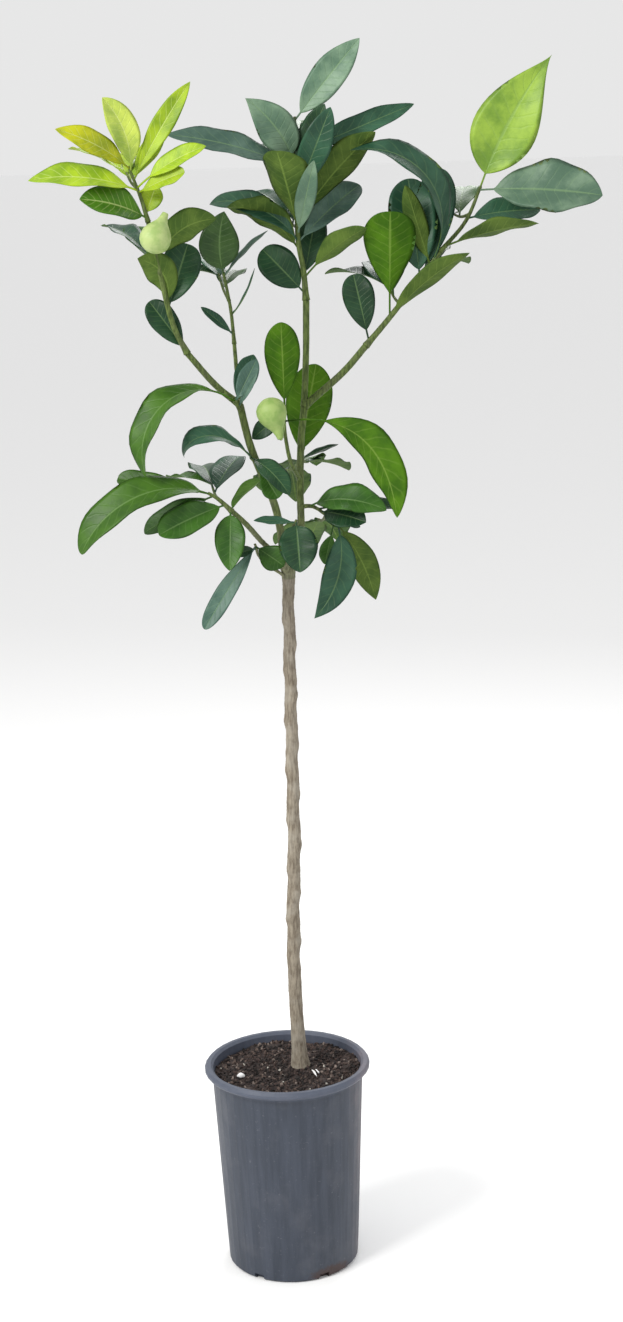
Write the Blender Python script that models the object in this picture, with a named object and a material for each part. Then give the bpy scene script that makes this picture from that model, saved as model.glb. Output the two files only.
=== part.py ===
"""A young grapefruit standard in its nursery pot: pot, soil, one bare trunk with a head of forked
boughs, and large leaves in separate masses, with two young fruits.

Metres, +Z up. The origin is at the centre of the pot's underside. The viewer stands on -Y, so +X
is their right. Directions are given as a turn and a rise in degrees: turn 0 is the viewer's right,
90 is away from them, 180 is left and 270 is towards them, and rise is the angle above level.
"""
import math
import random
from typing import NamedTuple

import bmesh
import bpy
import numpy as np
from mathutils import Vector
from mathutils.bvhtree import BVHTree

MM = 0.001
GAP = 0.3 * MM

# Pot
POT_HEIGHT = 0.252
POT_TOP_RADIUS = 0.0915
POT_FOOT_RADIUS = 0.079
POT_WALL = 0.002
POT_FLOOR = 0.003
POT_SIDES = 40
LIP_OVERHANG = 0.0085
LIP_HEIGHT = 0.009
NOTCH_COUNT = 6
NOTCH_WIDTH = 0.013
NOTCH_HEIGHT = 0.007
NOTCH_TURN = 298.0

# Soil
SOIL_TOP = 0.240
SOIL_SIDES = 30
SOIL_RINGS = 5
SOIL_ROUGHNESS = 0.0035
SOIL_SEED = 5

# Trunk
TRUNK_FOOT = (0.016, 0.012)
TRUNK_FLARE_RADIUS = 0.0125
TRUNK_RADIUS_LOW = 0.0082
TRUNK_RADIUS_HIGH = 0.0066
TRUNK_HEAD_RADIUS = 0.0088
TRUNK_SIDES = 10
TRUNK_RINGS = 38
FLARE_HEIGHT = 0.016
FIRST_KNOB = 0.400
KNOB_SPACING = 0.0305
KNOB_COUNT = 14
KNOB_SIZE = 0.0022
KNOB_LENGTH = 0.0065

# Joints of the limbs
HEAD = (0.022, 0.000, 0.856)
LEFT_FORK = (-0.025, -0.025, 1.048)
LEFT_SHOULDER = (-0.080, -0.048, 1.109)
FLUSH_START = (-0.114, -0.080, 1.253)
FLUSH_TIP = (-0.132, -0.085, 1.312)
THIN_TOP = (-0.040, 0.050, 1.191)
CENTRE_FORK = (0.047, 0.030, 1.038)
UPRIGHT_TOP = (0.053, 0.040, 1.157)
CENTRE_TIP = (0.047, 0.045, 1.360)
RIGHT_SHOULDER = (0.119, 0.030, 1.104)
RIGHT_ELBOW = (0.206, 0.040, 1.206)
RIGHT_TIP = (0.254, 0.050, 1.277)
LOW_LEFT_END = (-0.038, -0.050, 0.932)

# Limbs
BOUGH_SIDES = 8
STEM_SIDES = 6
START_STEP = 0.00025
START_SEARCH = 0.7

# Leaves
LEAF_THICKNESS = 0.0018
STALK_WIDTH = 0.0024
LEAF_FOLD = 17.0
SMALL_LEAF = 62.0
SMALL_RINGS = (0.18, 0.50, 0.82)
MIDDLE_LEAF = 100.0
MIDDLE_RINGS = (0.15, 0.38, 0.63, 0.86)
LARGE_RINGS = (0.13, 0.31, 0.51, 0.71, 0.89)
BEND_STEPS = 40
CURL_START = 0.5
GOLDEN_ANGLE = 137.5
LEAF_SEED = 11
BACK_FAN = 22.0
TEST_MARGIN = 0.0012


class Leaf(NamedTuple):
    """One leaf: where it sits on its shoot, where its tip points, and the way its upper side looks."""
    at: float
    turn: float
    rise: float
    long: float
    wide: float
    faces: tuple
    arch: float = 20.0
    sway: float = 0.0
    curl: float = 0.0
    belly: float = 0.52
    point: float = 0.8
    stalk: float = 0.09


class Fruit(NamedTuple):
    """One young fruit: its centre, the way its narrow neck points, and its width and length."""
    centre: tuple
    turn: float
    rise: float
    wide: float
    long: float


class Limb(NamedTuple):
    """One tapering limb: its route, its radius at each end, and the limbs it springs from."""
    route: tuple
    radius: tuple
    hosts: tuple


class Shoot(NamedTuple):
    """One mass of foliage: its stem, the leaves that show, and the seeded twigs that fill its back."""
    stem: Limb
    leaves: tuple
    twigs: int
    twig_rise: float
    fruit: tuple = ()


LIMBS = {
    "left_bough": Limb(
        ((0.0165, -0.002, 0.857), (0.016, -0.004, 0.890), (0.010, -0.010, 0.930),
         (-0.004, -0.015, 0.968), (-0.016, -0.020, 1.004), LEFT_FORK), (0.0045, 0.0042), ()),
    "upper_left_bough": Limb(
        (LEFT_FORK, (-0.051, -0.036, 1.072), LEFT_SHOULDER), (0.0038, 0.0034), ("left_bough",)),
    "thin_bough": Limb(
        (LEFT_FORK, (-0.028, 0.004, 1.082), (-0.030, 0.024, 1.112)), (0.0024, 0.0022), ("left_bough", "upper_left_bough")),
    "centre_bough": Limb(
        ((0.0275, 0.003, 0.857), (0.038, 0.010, 0.895), (0.039, 0.018, 0.945),
         (0.042, 0.026, 1.000), CENTRE_FORK), (0.0043, 0.0040), ("left_bough",)),
    "upright_bough": Limb(
        (CENTRE_FORK, (0.051, 0.036, 1.101), UPRIGHT_TOP), (0.0036, 0.0038), ("centre_bough",)),
    "right_bough": Limb(
        (CENTRE_FORK, (0.091, 0.029, 1.074), RIGHT_SHOULDER), (0.0042, 0.0038), ("centre_bough", "upright_bough")),
    "low_left_bough": Limb(
        ((0.018, -0.003, 0.864), (-0.005, -0.020, 0.890), (-0.022, -0.038, 0.914), LOW_LEFT_END),
        (0.0030, 0.0030), ("trunk", "left_bough")),
}

SHOOTS = {
    "upper_left_foliage": Shoot(
        Limb((LEFT_SHOULDER, (-0.094, -0.057, 1.142), (-0.105, -0.070, 1.200), FLUSH_START),
             (0.0032, 0.0026), ("upper_left_bough",)),
        (Leaf(0.72, 18, 31, 80, 38, (115, 15), arch=25, sway=0.14),
         Leaf(0.38, 218, 55, 64, 36, (110, 25), sway=-0.22, point=0.9),
         Leaf(0.36, 50, 62, 76, 46, (270, 10), belly=0.58, point=0.55),
         Leaf(0.02, 176, 55, 66, 32, (270, 20), belly=0.62, point=0.5)),
        1, 15,
        (Fruit((-0.105, -0.098, 1.238), 40, 60, 34, 44),)),
    "young_flush": Shoot(
        Limb((FLUSH_START, (-0.121, -0.083, 1.280), FLUSH_TIP), (0.0024, 0.0014), ("upper_left_foliage",)),
        (Leaf(0.55, 188, 7, 117, 38, (270, 48), arch=45, belly=0.5, point=0.9),
         Leaf(0.95, 206, 28, 92, 30, (280, 30), arch=50, point=0.9),
         Leaf(0.90, 225, 66, 84, 34, (285, 15), arch=15, sway=0.10),
         Leaf(0.75, 8, 57, 119, 25, (268, 10), arch=25, sway=-0.01, point=0.9),
         Leaf(0.75, 32, 52, 68, 24, (255, 20), arch=20),
         Leaf(0.60, 348, 28, 88, 27, (265, 40), arch=35, stalk=0.22),
         Leaf(0.52, 333, 19, 61, 24, (270, 35), arch=15, belly=0.62, point=0.45),
         Leaf(0.05, 203, 17, 78, 46, (270, 42), arch=40, belly=0.5),
         Leaf(0.12, 44, 62, 34, 26, (270, 10))),
        1, 15),
    "thin_foliage": Shoot(
        Limb(((-0.030, 0.024, 1.112), (-0.033, 0.038, 1.150), THIN_TOP), (0.0021, 0.0017), ("thin_bough",)),
        (Leaf(0.97, 285, 78, 72, 48, (270, 12), sway=-0.07, belly=0.44, point=0.95),
         Leaf(0.12, 182, 42, 48, 13, (270, 40), arch=10),
         Leaf(0.40, 40, 54, 62, 7, (200, 30), arch=-30),
         Leaf(0.95, 17, 42, 72, 14, (250, 75), arch=15)),
        1, 15),
    "centre_foliage": Shoot(
        Limb((UPRIGHT_TOP, (0.051, 0.044, 1.191), (0.046, 0.045, 1.225), (0.046, 0.045, 1.270),
              (0.046, 0.045, 1.315), CENTRE_TIP), (0.0035, 0.0016), ("upright_bough",)),
        (Leaf(0.98, 356, 49, 114, 40, (270, 15), arch=15, belly=0.48, point=0.9),
         Leaf(0.73, 195, 54, 94, 46, (262, 20), sway=0.08, belly=0.4, point=1.1, stalk=0.14),
         Leaf(0.72, 190, 16, 150, 36, (270, 42), arch=30),
         Leaf(0.40, 246, 60, 98, 58, (60, 30), arch=10, belly=0.68, point=0.5),
         Leaf(0.27, 208, 30, 104, 46, (75, 45), arch=80),
         Leaf(0.32, 171, 24, 110, 36, (270, 45), arch=105),
         Leaf(0.03, 159, 45, 72, 44, (270, 12), belly=0.56, point=0.55, stalk=0.15),
         Leaf(0.68, 337, 64, 86, 32, (245, 5), arch=10),
         Leaf(0.58, 325, 62, 106, 36, (275, 0), arch=15),
         Leaf(0.36, 296, 60, 94, 24, (265, 0), arch=10),
         Leaf(0.42, 351, 47, 134, 46, (110, 30), arch=35, stalk=0.15),
         Leaf(0.32, 30, 36, 103, 40, (270, 40), arch=25, belly=0.6, point=0.6),
         Leaf(0.12, 336, 35, 95, 33, (100, 40), arch=40, stalk=0.2),
         Leaf(0.80, 12, 20, 148, 30, (265, 28), arch=0),
         Leaf(0.12, 70, 56, 90, 36, (270, 12))),
        3, 10),
    "right_foliage": Shoot(
        Limb((RIGHT_SHOULDER, (0.147, 0.032, 1.135), (0.192, 0.038, 1.188), RIGHT_ELBOW),
             (0.0035, 0.0026), ("right_bough",)),
        (Leaf(0.31, 277, 80, 120, 62, (90, 8), belly=0.68, point=0.5, stalk=0.22),
         Leaf(0.04, 166, 78, 78, 38, (270, 8), belly=0.62, point=0.5, stalk=0.18),
         Leaf(0.28, 341, 37, 122, 32, (100, 45), arch=35, point=0.9),
         Leaf(0.72, 106, 73, 116, 58, (270, 5), belly=0.58, point=0.55),
         Leaf(0.78, 60, 68, 124, 48, (268, 5), arch=15, belly=0.58, point=0.55),
         Leaf(0.88, 185, 55, 156, 50, (317, 28), arch=120, sway=0.17, point=0.9),
         Leaf(0.86, 195, 73, 94, 26, (95, 10), arch=10)),
        2, 15),
    "right_tip_foliage": Shoot(
        Limb((RIGHT_ELBOW, (0.236, 0.045, 1.239), RIGHT_TIP), (0.0025, 0.0018), ("right_foliage",)),
        (Leaf(1.00, 353, 60, 162, 76, (270, 15), arch=12, sway=-0.04, belly=0.36, point=1.45),
         Leaf(0.95, 343, -4, 140, 72, (270, 35), arch=20, belly=0.54, point=0.75, stalk=0.12),
         Leaf(0.55, 10, 4, 86, 38, (270, 40), arch=25),
         Leaf(0.09, 343, 12, 110, 38, (90, 60), arch=20, point=1.0, stalk=0.12)),
        1, 0),
    "left_fork_foliage": Shoot(
        Limb(((-0.023, -0.024, 1.036), (-0.030, -0.037, 1.054)), (0.0022, 0.0020), ("left_bough",)),
        (Leaf(0.90, 206, -34, 134, 46, (235, 45), arch=140, sway=0.14, point=0.8, stalk=0.14),
         Leaf(0.80, 31, 57, 54, 22, (270, 10)),
         Leaf(0.90, 62, 46, 66, 26, (270, 20)),
         Leaf(0.02, 340, 58, 46, 9, (270, 20))),
        1, 10),
    "left_bough_foliage": Shoot(
        Limb(((-0.007, -0.017, 0.978), (-0.015, -0.030, 0.989)), (0.0020, 0.0018), ("left_bough",)),
        (Leaf(0.60, 204, 6, 82, 32, (250, 50), arch=70, curl=100, point=0.9, stalk=0.12),
         Leaf(0.95, 322, -36, 66, 30, (290, 40), arch=50),
         Leaf(0.10, 320, -50, 52, 27, (275, 25), arch=15, belly=0.68, point=0.55, stalk=0.25)),
        0, 0),
    "centre_front_foliage": Shoot(
        Limb(((0.039, 0.019, 0.955), (0.029, -0.012, 0.982), (0.024, -0.017, 1.017),
              (0.025, -0.014, 1.045)), (0.0026, 0.0018), ("centre_bough",)),
        (Leaf(0.97, 264, 85, 96, 42, (90, 5), belly=0.6, point=0.6),
         Leaf(0.82, 332, -37, 172, 52, (75, 20), arch=25, sway=0.25, belly=0.58, point=0.8, stalk=0.22),
         Leaf(0.92, 172, -38, 48, 22, (270, 20))),
        0, 0,
        (Fruit((0.011, -0.037, 1.037), 330, -70, 34, 46),)),
    "centre_back_foliage": Shoot(
        Limb(((0.039, 0.019, 0.955), (0.037, 0.045, 0.967), (0.045, 0.075, 0.985)),
             (0.0026, 0.0016), ("centre_bough",)),
        (Leaf(0.30, 42, 74, 122, 56, (90, 10), belly=0.6, point=0.6, stalk=0.18),
         Leaf(0.60, 29, 14, 54, 10, (270, 60), arch=10)),
        2, -20),
    "low_left_foliage": Shoot(
        Limb((LOW_LEFT_END, (-0.052, -0.057, 0.947), (-0.063, -0.061, 0.955)),
             (0.0028, 0.0018), ("low_left_bough",)),
        (Leaf(0.85, 195, -20, 160, 46, (262, 45), arch=88, sway=0.1, belly=0.56, point=0.5, stalk=0.08),
         Leaf(0.80, 168, -27, 92, 31, (270, 45), arch=20, belly=0.58, point=0.6),
         Leaf(0.30, 208, -17, 86, 42, (270, 35), arch=25, belly=0.58, point=0.55),
         Leaf(0.04, 266, -60, 72, 36, (272, 22), arch=15, belly=0.45),
         Leaf(0.95, 166, 9, 108, 26, (270, 35), arch=10, belly=0.72, point=0.4)),
        1, 5),
    "head_left_foliage": Shoot(
        Limb(((0.020, -0.002, 0.846), (-0.007, -0.030, 0.872), (-0.014, -0.038, 0.892)),
             (0.0018, 0.0014), ("trunk",)),
        (Leaf(0.95, 204, -53, 110, 24, (262, 20), arch=15, belly=0.62, point=0.5, stalk=0.06),
         Leaf(0.95, 340, -33, 40, 32, (270, 20), belly=0.6),
         Leaf(0.90, 200, -10, 30, 14, (270, 30))),
        0, 0),
    "head_right_foliage": Shoot(
        Limb(((0.038, 0.014, 0.925), (0.056, 0.008, 0.924), (0.082, 0.000, 0.903)),
             (0.0024, 0.0016), ("centre_bough",)),
        (Leaf(0.14, 337, -1, 94, 42, (268, 46), arch=75, stalk=0.12),
         Leaf(0.45, 322, -7, 64, 40, (270, 35), arch=30),
         Leaf(0.50, 20, -24, 50, 20, (270, 45), arch=20),
         Leaf(0.97, 219, -69, 110, 40, (278, 12), sway=-0.13, belly=0.45, point=1.0),
         Leaf(0.85, 150, -74, 52, 20, (270, 15), stalk=0.3),
         Leaf(0.97, 40, -60, 110, 36, (95, 10), arch=20, sway=0.05, point=0.9),
         Leaf(0.35, 350, 1, 98, 24, (270, 50), arch=30)),
        1, -20),
    "head_front_foliage": Shoot(
        Limb(((0.016, -0.005, 0.880), (0.034, -0.028, 0.916)), (0.0020, 0.0016), ("left_bough",)),
        (Leaf(0.95, 276, -64, 60, 46, (275, 22), arch=10, belly=0.45, point=0.7),
         Leaf(0.90, 205, 8, 52, 13, (270, 45), arch=10)),
        0, 0),
}

MATERIALS = {
    "pot_plastic": ((0.095, 0.108, 0.130), 0.55),
    "soil": ((0.055, 0.040, 0.034), 0.95),
    "bark": ((0.270, 0.225, 0.180), 0.85),
    "green_bark": ((0.130, 0.150, 0.060), 0.60),
    "leaf": ((0.060, 0.150, 0.040), 0.45),
    "young_leaf": ((0.280, 0.400, 0.060), 0.45),
}


def heading(turn, rise):
    """The unit direction of a turn and a rise."""
    flat = math.cos(math.radians(rise))
    return np.array([flat * math.cos(math.radians(turn)), flat * math.sin(math.radians(turn)),
                     math.sin(math.radians(rise))])


def unit(vector):
    return vector / np.linalg.norm(vector)


def smooth_route(route, steps):
    """Points on a smooth curve through the route, with this many steps in each span."""
    points = np.array(route, float)
    ends = np.vstack([2 * points[0] - points[1], points, 2 * points[-1] - points[-2]])
    curve = []
    for k in range(len(points) - 1):
        before, start, end, after = ends[k:k + 4]
        for t in np.arange(steps) / steps:
            bend = 2 * before - 5 * start + 4 * end - after
            turn_in = 3 * start - before - 3 * end + after
            curve.append(start + 0.5 * (t * (end - before) + t * t * bend + t ** 3 * turn_in))
    curve.append(points[-1])
    return np.array(curve)


def point_at(curve, share):
    """The point a share of the way along a curve, and the curve's direction there."""
    spans = np.linalg.norm(np.diff(curve, axis=0), axis=1)
    along = np.concatenate([[0.0], np.cumsum(spans)]) / spans.sum()
    place = np.array([np.interp(share, along, curve[:, k]) for k in range(3)])
    span = min(int(np.searchsorted(along, share, side="right")) - 1, len(spans) - 1)
    return place, unit(curve[span + 1] - curve[span])


def tube(curve, radii, sides):
    """Vertices and faces of a tube with flat ends along a curve."""
    directions = np.gradient(curve, axis=0)
    side = unit(np.cross(directions[0], heading(90, 20)))
    verts = []
    for place, direction, radius in zip(curve, directions, radii):
        direction = unit(direction)
        side = unit(side - direction * side.dot(direction))
        up = np.cross(direction, side)
        for k in range(sides):
            angle = 2 * math.pi * k / sides
            verts.append(place + radius * (math.cos(angle) * side + math.sin(angle) * up))
    faces = [tuple(range(sides))[::-1], tuple(range(len(verts) - sides, len(verts)))]
    for ring in range(len(curve) - 1):
        low = ring * sides
        for k in range(sides):
            nxt = (k + 1) % sides
            faces.append((low + k, low + nxt, low + sides + nxt, low + sides + k))
    return verts, faces


def depth_inside(points, curve, radii):
    """How far the deepest of some points lies inside a tube with flat ends, less the gap to keep."""
    deepest = -1.0
    last = len(curve) - 2
    for k in range(len(curve) - 1):
        span = curve[k + 1] - curve[k]
        long = np.linalg.norm(span)
        along = (points - curve[k]) @ span / long
        low = -GAP if k == 0 else -radii[k]
        high = long + (GAP if k == last else radii[k])
        near = (along > low) & (along < high)
        if near.any():
            off = np.linalg.norm(points - curve[k] - np.outer(along / long, span), axis=1)
            deepest = max(deepest, (max(radii[k], radii[k + 1]) + GAP - off[near]).max())
    return deepest


def clear_start(curve, own_radius, hosts):
    """Cut the start of a limb's curve back, so that the limb stands clear of its hosts."""
    length = np.linalg.norm(np.diff(curve, axis=0), axis=1).sum()
    cut = 0.0
    for share in np.arange(0, START_SEARCH, START_STEP / length):
        place, direction = point_at(curve, share)
        side = unit(np.cross(direction, heading(90, 20)))
        up = np.cross(direction, side)
        ring = np.array([place + own_radius * (math.cos(a) * side + math.sin(a) * up)
                         for a in np.linspace(0, 2 * math.pi, 12)])
        if any(depth_inside(ring, *host) > 0 for host in hosts):
            cut = share + START_STEP / length
    along = np.concatenate([[0.0], np.cumsum(np.linalg.norm(np.diff(curve, axis=0), axis=1))])
    kept = [point for point, far in zip(curve, along / length) if far > cut + own_radius / length]
    return np.array([point_at(curve, cut)[0]] + kept)


def limb_curve(limb, steps=2):
    return smooth_route(limb.route, steps)


def free_tube(limb, hosts):
    """The curve and the radii of a limb, from where it stands just clear of what it springs from."""
    curve = clear_start(limb_curve(limb), limb.radius[0], hosts)
    return curve, np.linspace(limb.radius[0], limb.radius[1], len(curve))


def limb_tubes():
    """The tube of the trunk, each bough and each mass's stem, each clear of those before it."""
    heights = np.linspace(SOIL_TOP, HEAD[2], TRUNK_RINGS)
    tubes = {"trunk": (np.array([trunk_centre(z) for z in heights]),
                       np.full(TRUNK_RINGS, TRUNK_HEAD_RADIUS))}
    stems = {name: shoot.stem for name, shoot in SHOOTS.items()}
    for name, limb in {**LIMBS, **stems}.items():
        hosts = [tubes[host] for host in limb.hosts]
        tubes[name] = free_tube(limb, hosts)
    return tubes


def leaf_frames(leaf, base, steps=BEND_STEPS):
    """Places along a leaf's midrib, with the direction, the side and the upper normal at each."""
    forward = heading(leaf.turn, leaf.rise)
    upper = heading(*leaf.faces)
    upper = unit(upper - forward * upper.dot(forward))
    side = np.cross(forward, upper)
    share = np.linspace(0, 1, steps + 1)
    slope = np.radians(leaf.arch) * (0.5 - share)
    slope -= np.radians(leaf.curl) * np.clip((share - CURL_START) / (1 - CURL_START), 0, 1) ** 1.5
    mean_slope = 0.5 * (slope[1:] + slope[:-1])
    run = np.concatenate([[0.0], np.cumsum(np.cos(mean_slope))])
    lift = np.concatenate([[0.0], np.cumsum(np.sin(mean_slope))])
    chord = math.hypot(run[-1], lift[-1])
    along = (run * run[-1] + lift * lift[-1]) / chord ** 2
    above = (lift * run[-1] - run * lift[-1]) / chord ** 2
    long = leaf.long * MM
    bow = 4 * leaf.sway * share * (1 - share)
    places = base + long * (np.outer(along, forward) + np.outer(above, upper) + np.outer(bow, side))
    directions = np.gradient(places, axis=0)
    directions /= np.linalg.norm(directions, axis=1)[:, None]
    normals = np.cross(side, directions)
    normals /= np.linalg.norm(normals, axis=1)[:, None]
    return share, places, np.cross(directions, normals), normals


def half_width(leaf, blade_share):
    """Half the blade's width at a share of the way from the end of its stalk to its tip."""
    near = leaf.belly * leaf.point / (1 - leaf.belly)
    rise = (blade_share / leaf.belly) ** near
    fall = ((1 - blade_share) / (1 - leaf.belly)) ** leaf.point
    return 0.5 * leaf.wide * MM * rise * fall


def leaf_mesh(leaf, base, margin=0.0, first_ring=0):
    """A leaf as a closed blade: rings of left edge, upper rib, right edge and lower rib, and a tip."""
    share, places, sides, normals = leaf_frames(leaf, base)
    rings = [(0.0, STALK_WIDTH / 2, 0.0), (leaf.stalk, STALK_WIDTH / 2, 0.0)]
    places_of_rings = LARGE_RINGS
    if leaf.long < SMALL_LEAF:
        places_of_rings = SMALL_RINGS
    elif leaf.long < MIDDLE_LEAF:
        places_of_rings = MIDDLE_RINGS
    for place in places_of_rings:
        rings.append((leaf.stalk + (1 - leaf.stalk) * place, half_width(leaf, place), 1.0))
    rings = rings[first_ring:]
    fold = math.radians(LEAF_FOLD)
    thick = LEAF_THICKNESS / 2 + margin
    verts = []
    for at, half, folded in rings:
        centre, side, normal = (
            np.array([np.interp(at, share, table[:, k]) for k in range(3)])
            for table in (places, sides, normals))
        out = (half + margin) * (math.cos(fold) if folded else 1.0)
        lift = half * math.sin(fold) * folded
        deep = thick if folded else STALK_WIDTH / 2
        verts += [centre - side * out + normal * lift, centre + normal * deep,
                  centre + side * out + normal * lift, centre - normal * deep]
    faces = [(0, 1, 2, 3)]
    for ring in range(len(rings) - 1):
        low = 4 * ring
        for k in range(4):
            nxt = (k + 1) % 4
            faces.append((low + k, low + 4 + k, low + 4 + nxt, low + nxt))
    tip = len(verts)
    verts.append(places[-1])
    low = tip - 4
    faces += [(low + k, tip, low + (k + 1) % 4) for k in range(4)]
    return verts, faces


def fruit_mesh(fruit, stem_point):
    """A pear-shaped young fruit, with its neck drawn out, and a stalk that runs into the stem."""
    axis = heading(fruit.turn, fruit.rise)
    centre = np.array(fruit.centre)
    wide = fruit.wide * MM / 2
    long = fruit.long * MM
    profile = [(-0.40, 0.45), (-0.30, 0.80), (-0.12, 1.00), (0.08, 0.94), (0.28, 0.60),
               (0.45, 0.28), (0.62, 0.20)]
    curve = np.array([centre + axis * long * along for along, _ in profile])
    body = tube(curve, [wide * share for _, share in profile], 10)
    neck = curve[-1]
    foot = centre - axis * long * 0.2
    near = neck if np.linalg.norm(neck - stem_point) < np.linalg.norm(foot - stem_point) else foot
    stalk = tube(np.array([near, 0.5 * (near + stem_point), stem_point]), [0.0024, 0.0020, 0.0018], 6)
    return body, stalk


def tree_of(mesh_parts):
    """A search tree over several meshes."""
    verts = []
    faces = []
    for part_verts, part_faces in mesh_parts:
        base = len(verts)
        verts += [Vector(v) for v in part_verts]
        faces += [tuple(base + k for k in face) for face in part_faces]
    return BVHTree.FromPolygons(verts, faces)


def seeded_twigs(shoot, curve, rng):
    """Short twigs that branch from the stem towards the back, each with three leaves, by a rule."""
    twigs = []
    for k in range(shoot.twigs):
        base, _ = point_at(curve, 0.3 + 0.6 * (k + 0.5) / shoot.twigs)
        turn = 90 + BACK_FAN * math.sin(math.radians(GOLDEN_ANGLE * (k + rng.random())))
        rise = shoot.twig_rise + rng.uniform(-8, 8)
        reach = rng.uniform(0.035, 0.060)
        middle = base + heading(turn, rise) * reach * 0.5
        route = np.array([base, middle, middle + heading(turn, rise + 15) * reach * 0.5])
        leaves = []
        for step in range(3):
            around = turn + (step - 1) * rng.uniform(15, 32)
            up = shoot.twig_rise + rng.uniform(-15, 20)
            leaves.append(Leaf(0.55 + 0.2 * step, around, up, rng.uniform(75, 105),
                               rng.uniform(34, 44), (around, 89), arch=rng.uniform(20, 45)))
        twigs.append((route, leaves))
    return twigs


def plan_foliage(limb_meshes):
    """Each mass as a list of closed meshes: the stem, the leaves that show and the seeded twigs."""
    rng = random.Random(LEAF_SEED)
    tubes = limb_tubes()
    masses = {}
    for name, shoot in SHOOTS.items():
        curve, radii = tubes[name]
        parts = [tube(curve, radii, STEM_SIDES)]
        for leaf in shoot.leaves:
            parts.append(leaf_mesh(leaf, point_at(curve, leaf.at)[0]))
        for fruit in shoot.fruit:
            parts += fruit_mesh(fruit, point_at(curve, 0.8)[0])
        masses[name] = parts
    for name, shoot in SHOOTS.items():
        others = [mesh for other, parts in masses.items() if other != name for mesh in parts]
        taken = tree_of(others + limb_meshes)
        own_leaves = tree_of(masses[name][1:])
        for route, leaves in seeded_twigs(shoot, tubes[name][0], rng):
            twig = tube(route, [0.0018, 0.0015, 0.0012], 5)
            if tree_of([twig]).overlap(taken):
                continue
            masses[name].append(twig)
            for leaf in leaves:
                base = point_at(route, leaf.at)[0]
                test = tree_of([leaf_mesh(leaf, base, TEST_MARGIN)])
                blade = tree_of([leaf_mesh(leaf, base, TEST_MARGIN, first_ring=3)])
                if test.overlap(taken) or blade.overlap(own_leaves):
                    continue
                masses[name].append(leaf_mesh(leaf, base))
    return masses


def material(name):
    made = bpy.data.materials.get(name)
    if made is None:
        colour, roughness = MATERIALS[name]
        made = bpy.data.materials.new(name)
        made.use_nodes = True
        shader = made.node_tree.nodes["Principled BSDF"]
        shader.inputs["Base Color"].default_value = (*colour, 1.0)
        shader.inputs["Roughness"].default_value = roughness
        made.diffuse_color = (*colour, 1.0)
    return made


def solid(name, verts, faces, finish, flat_faces=False, sharp=40.0):
    """A mesh object with its faces turned outwards and its round sides shaded smooth."""
    mesh = bpy.data.meshes.new(name)
    mesh.from_pydata([tuple(v) for v in verts], [], faces)
    work = bmesh.new()
    work.from_mesh(mesh)
    bmesh.ops.recalc_face_normals(work, faces=work.faces)
    if flat_faces:
        bmesh.ops.triangulate(work, faces=work.faces)
    work.to_mesh(mesh)
    work.free()
    mesh.shade_smooth()
    mesh.set_sharp_from_angle(angle=math.radians(sharp))
    made = bpy.data.objects.new(name, mesh)
    made.data.materials.append(material(finish))
    bpy.context.scene.collection.objects.link(made)
    return made


def apply_modifiers(made):
    """Replace an object's mesh with what its modifiers make of it."""
    bpy.context.view_layer.update()
    shaped = bpy.data.meshes.new_from_object(made.evaluated_get(bpy.context.evaluated_depsgraph_get()))
    made.modifiers.clear()
    made.data = shaped


def keep_largest_body(made):
    """Drop the loose scraps and fill the sealed hollows that a union leaves."""
    work = bmesh.new()
    work.from_mesh(made.data)
    bmesh.ops.triangulate(work, faces=work.faces)
    unseen = set(work.verts)
    bodies = []
    while unseen:
        body = {unseen.pop()}
        edge_of_body = list(body)
        while edge_of_body:
            vert = edge_of_body.pop()
            for edge in vert.link_edges:
                other = edge.other_vert(vert)
                if other in unseen:
                    unseen.remove(other)
                    body.add(other)
                    edge_of_body.append(other)
        bodies.append(body)
    largest = max(bodies, key=len)
    loose = [vert for vert in work.verts if vert not in largest]
    bmesh.ops.delete(work, geom=loose, context="VERTS")
    work.to_mesh(made.data)
    work.free()


def fuse(name, parts, finish):
    """Join a mass's stem, twigs, leaves and fruit into one body with one Boolean union."""
    stem = solid(name, *parts[0], finish, flat_faces=True)
    group = bpy.data.collections.new(name + "_parts")
    bpy.context.scene.collection.children.link(group)
    pieces = []
    for k, part in enumerate(parts[1:]):
        piece = solid(f"{name}_piece_{k}", *part, finish, flat_faces=True)
        bpy.context.scene.collection.objects.unlink(piece)
        group.objects.link(piece)
        pieces.append(piece)
    union = stem.modifiers.new("join", "BOOLEAN")
    union.operation = "UNION"
    union.operand_type = "COLLECTION"
    union.collection = group
    union.solver = "EXACT"
    apply_modifiers(stem)
    for piece in pieces:
        bpy.data.objects.remove(piece)
    bpy.data.collections.remove(group)
    keep_largest_body(stem)
    return stem


def turned(name, profile, sides, finish):
    """A solid turned about the Z axis from a closed profile of radius and height pairs."""
    verts = []
    rows = []
    for radius, height in profile:
        if radius == 0:
            rows.append([len(verts)] * sides)
            verts.append((0, 0, height))
            continue
        rows.append(list(range(len(verts), len(verts) + sides)))
        for k in range(sides):
            angle = 2 * math.pi * k / sides
            verts.append((radius * math.cos(angle), radius * math.sin(angle), height))
    faces = []
    for low, high in zip(rows, rows[1:]):
        for k in range(sides):
            nxt = (k + 1) % sides
            ring = [low[k], low[nxt], high[nxt], high[k]]
            faces.append(tuple(dict.fromkeys(ring)))
    return solid(name, verts, faces, finish)


def pot_radius(height):
    """The pot's outer radius at a height below its lip."""
    return POT_FOOT_RADIUS + (POT_TOP_RADIUS - POT_FOOT_RADIUS) * height / POT_HEIGHT


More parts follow.
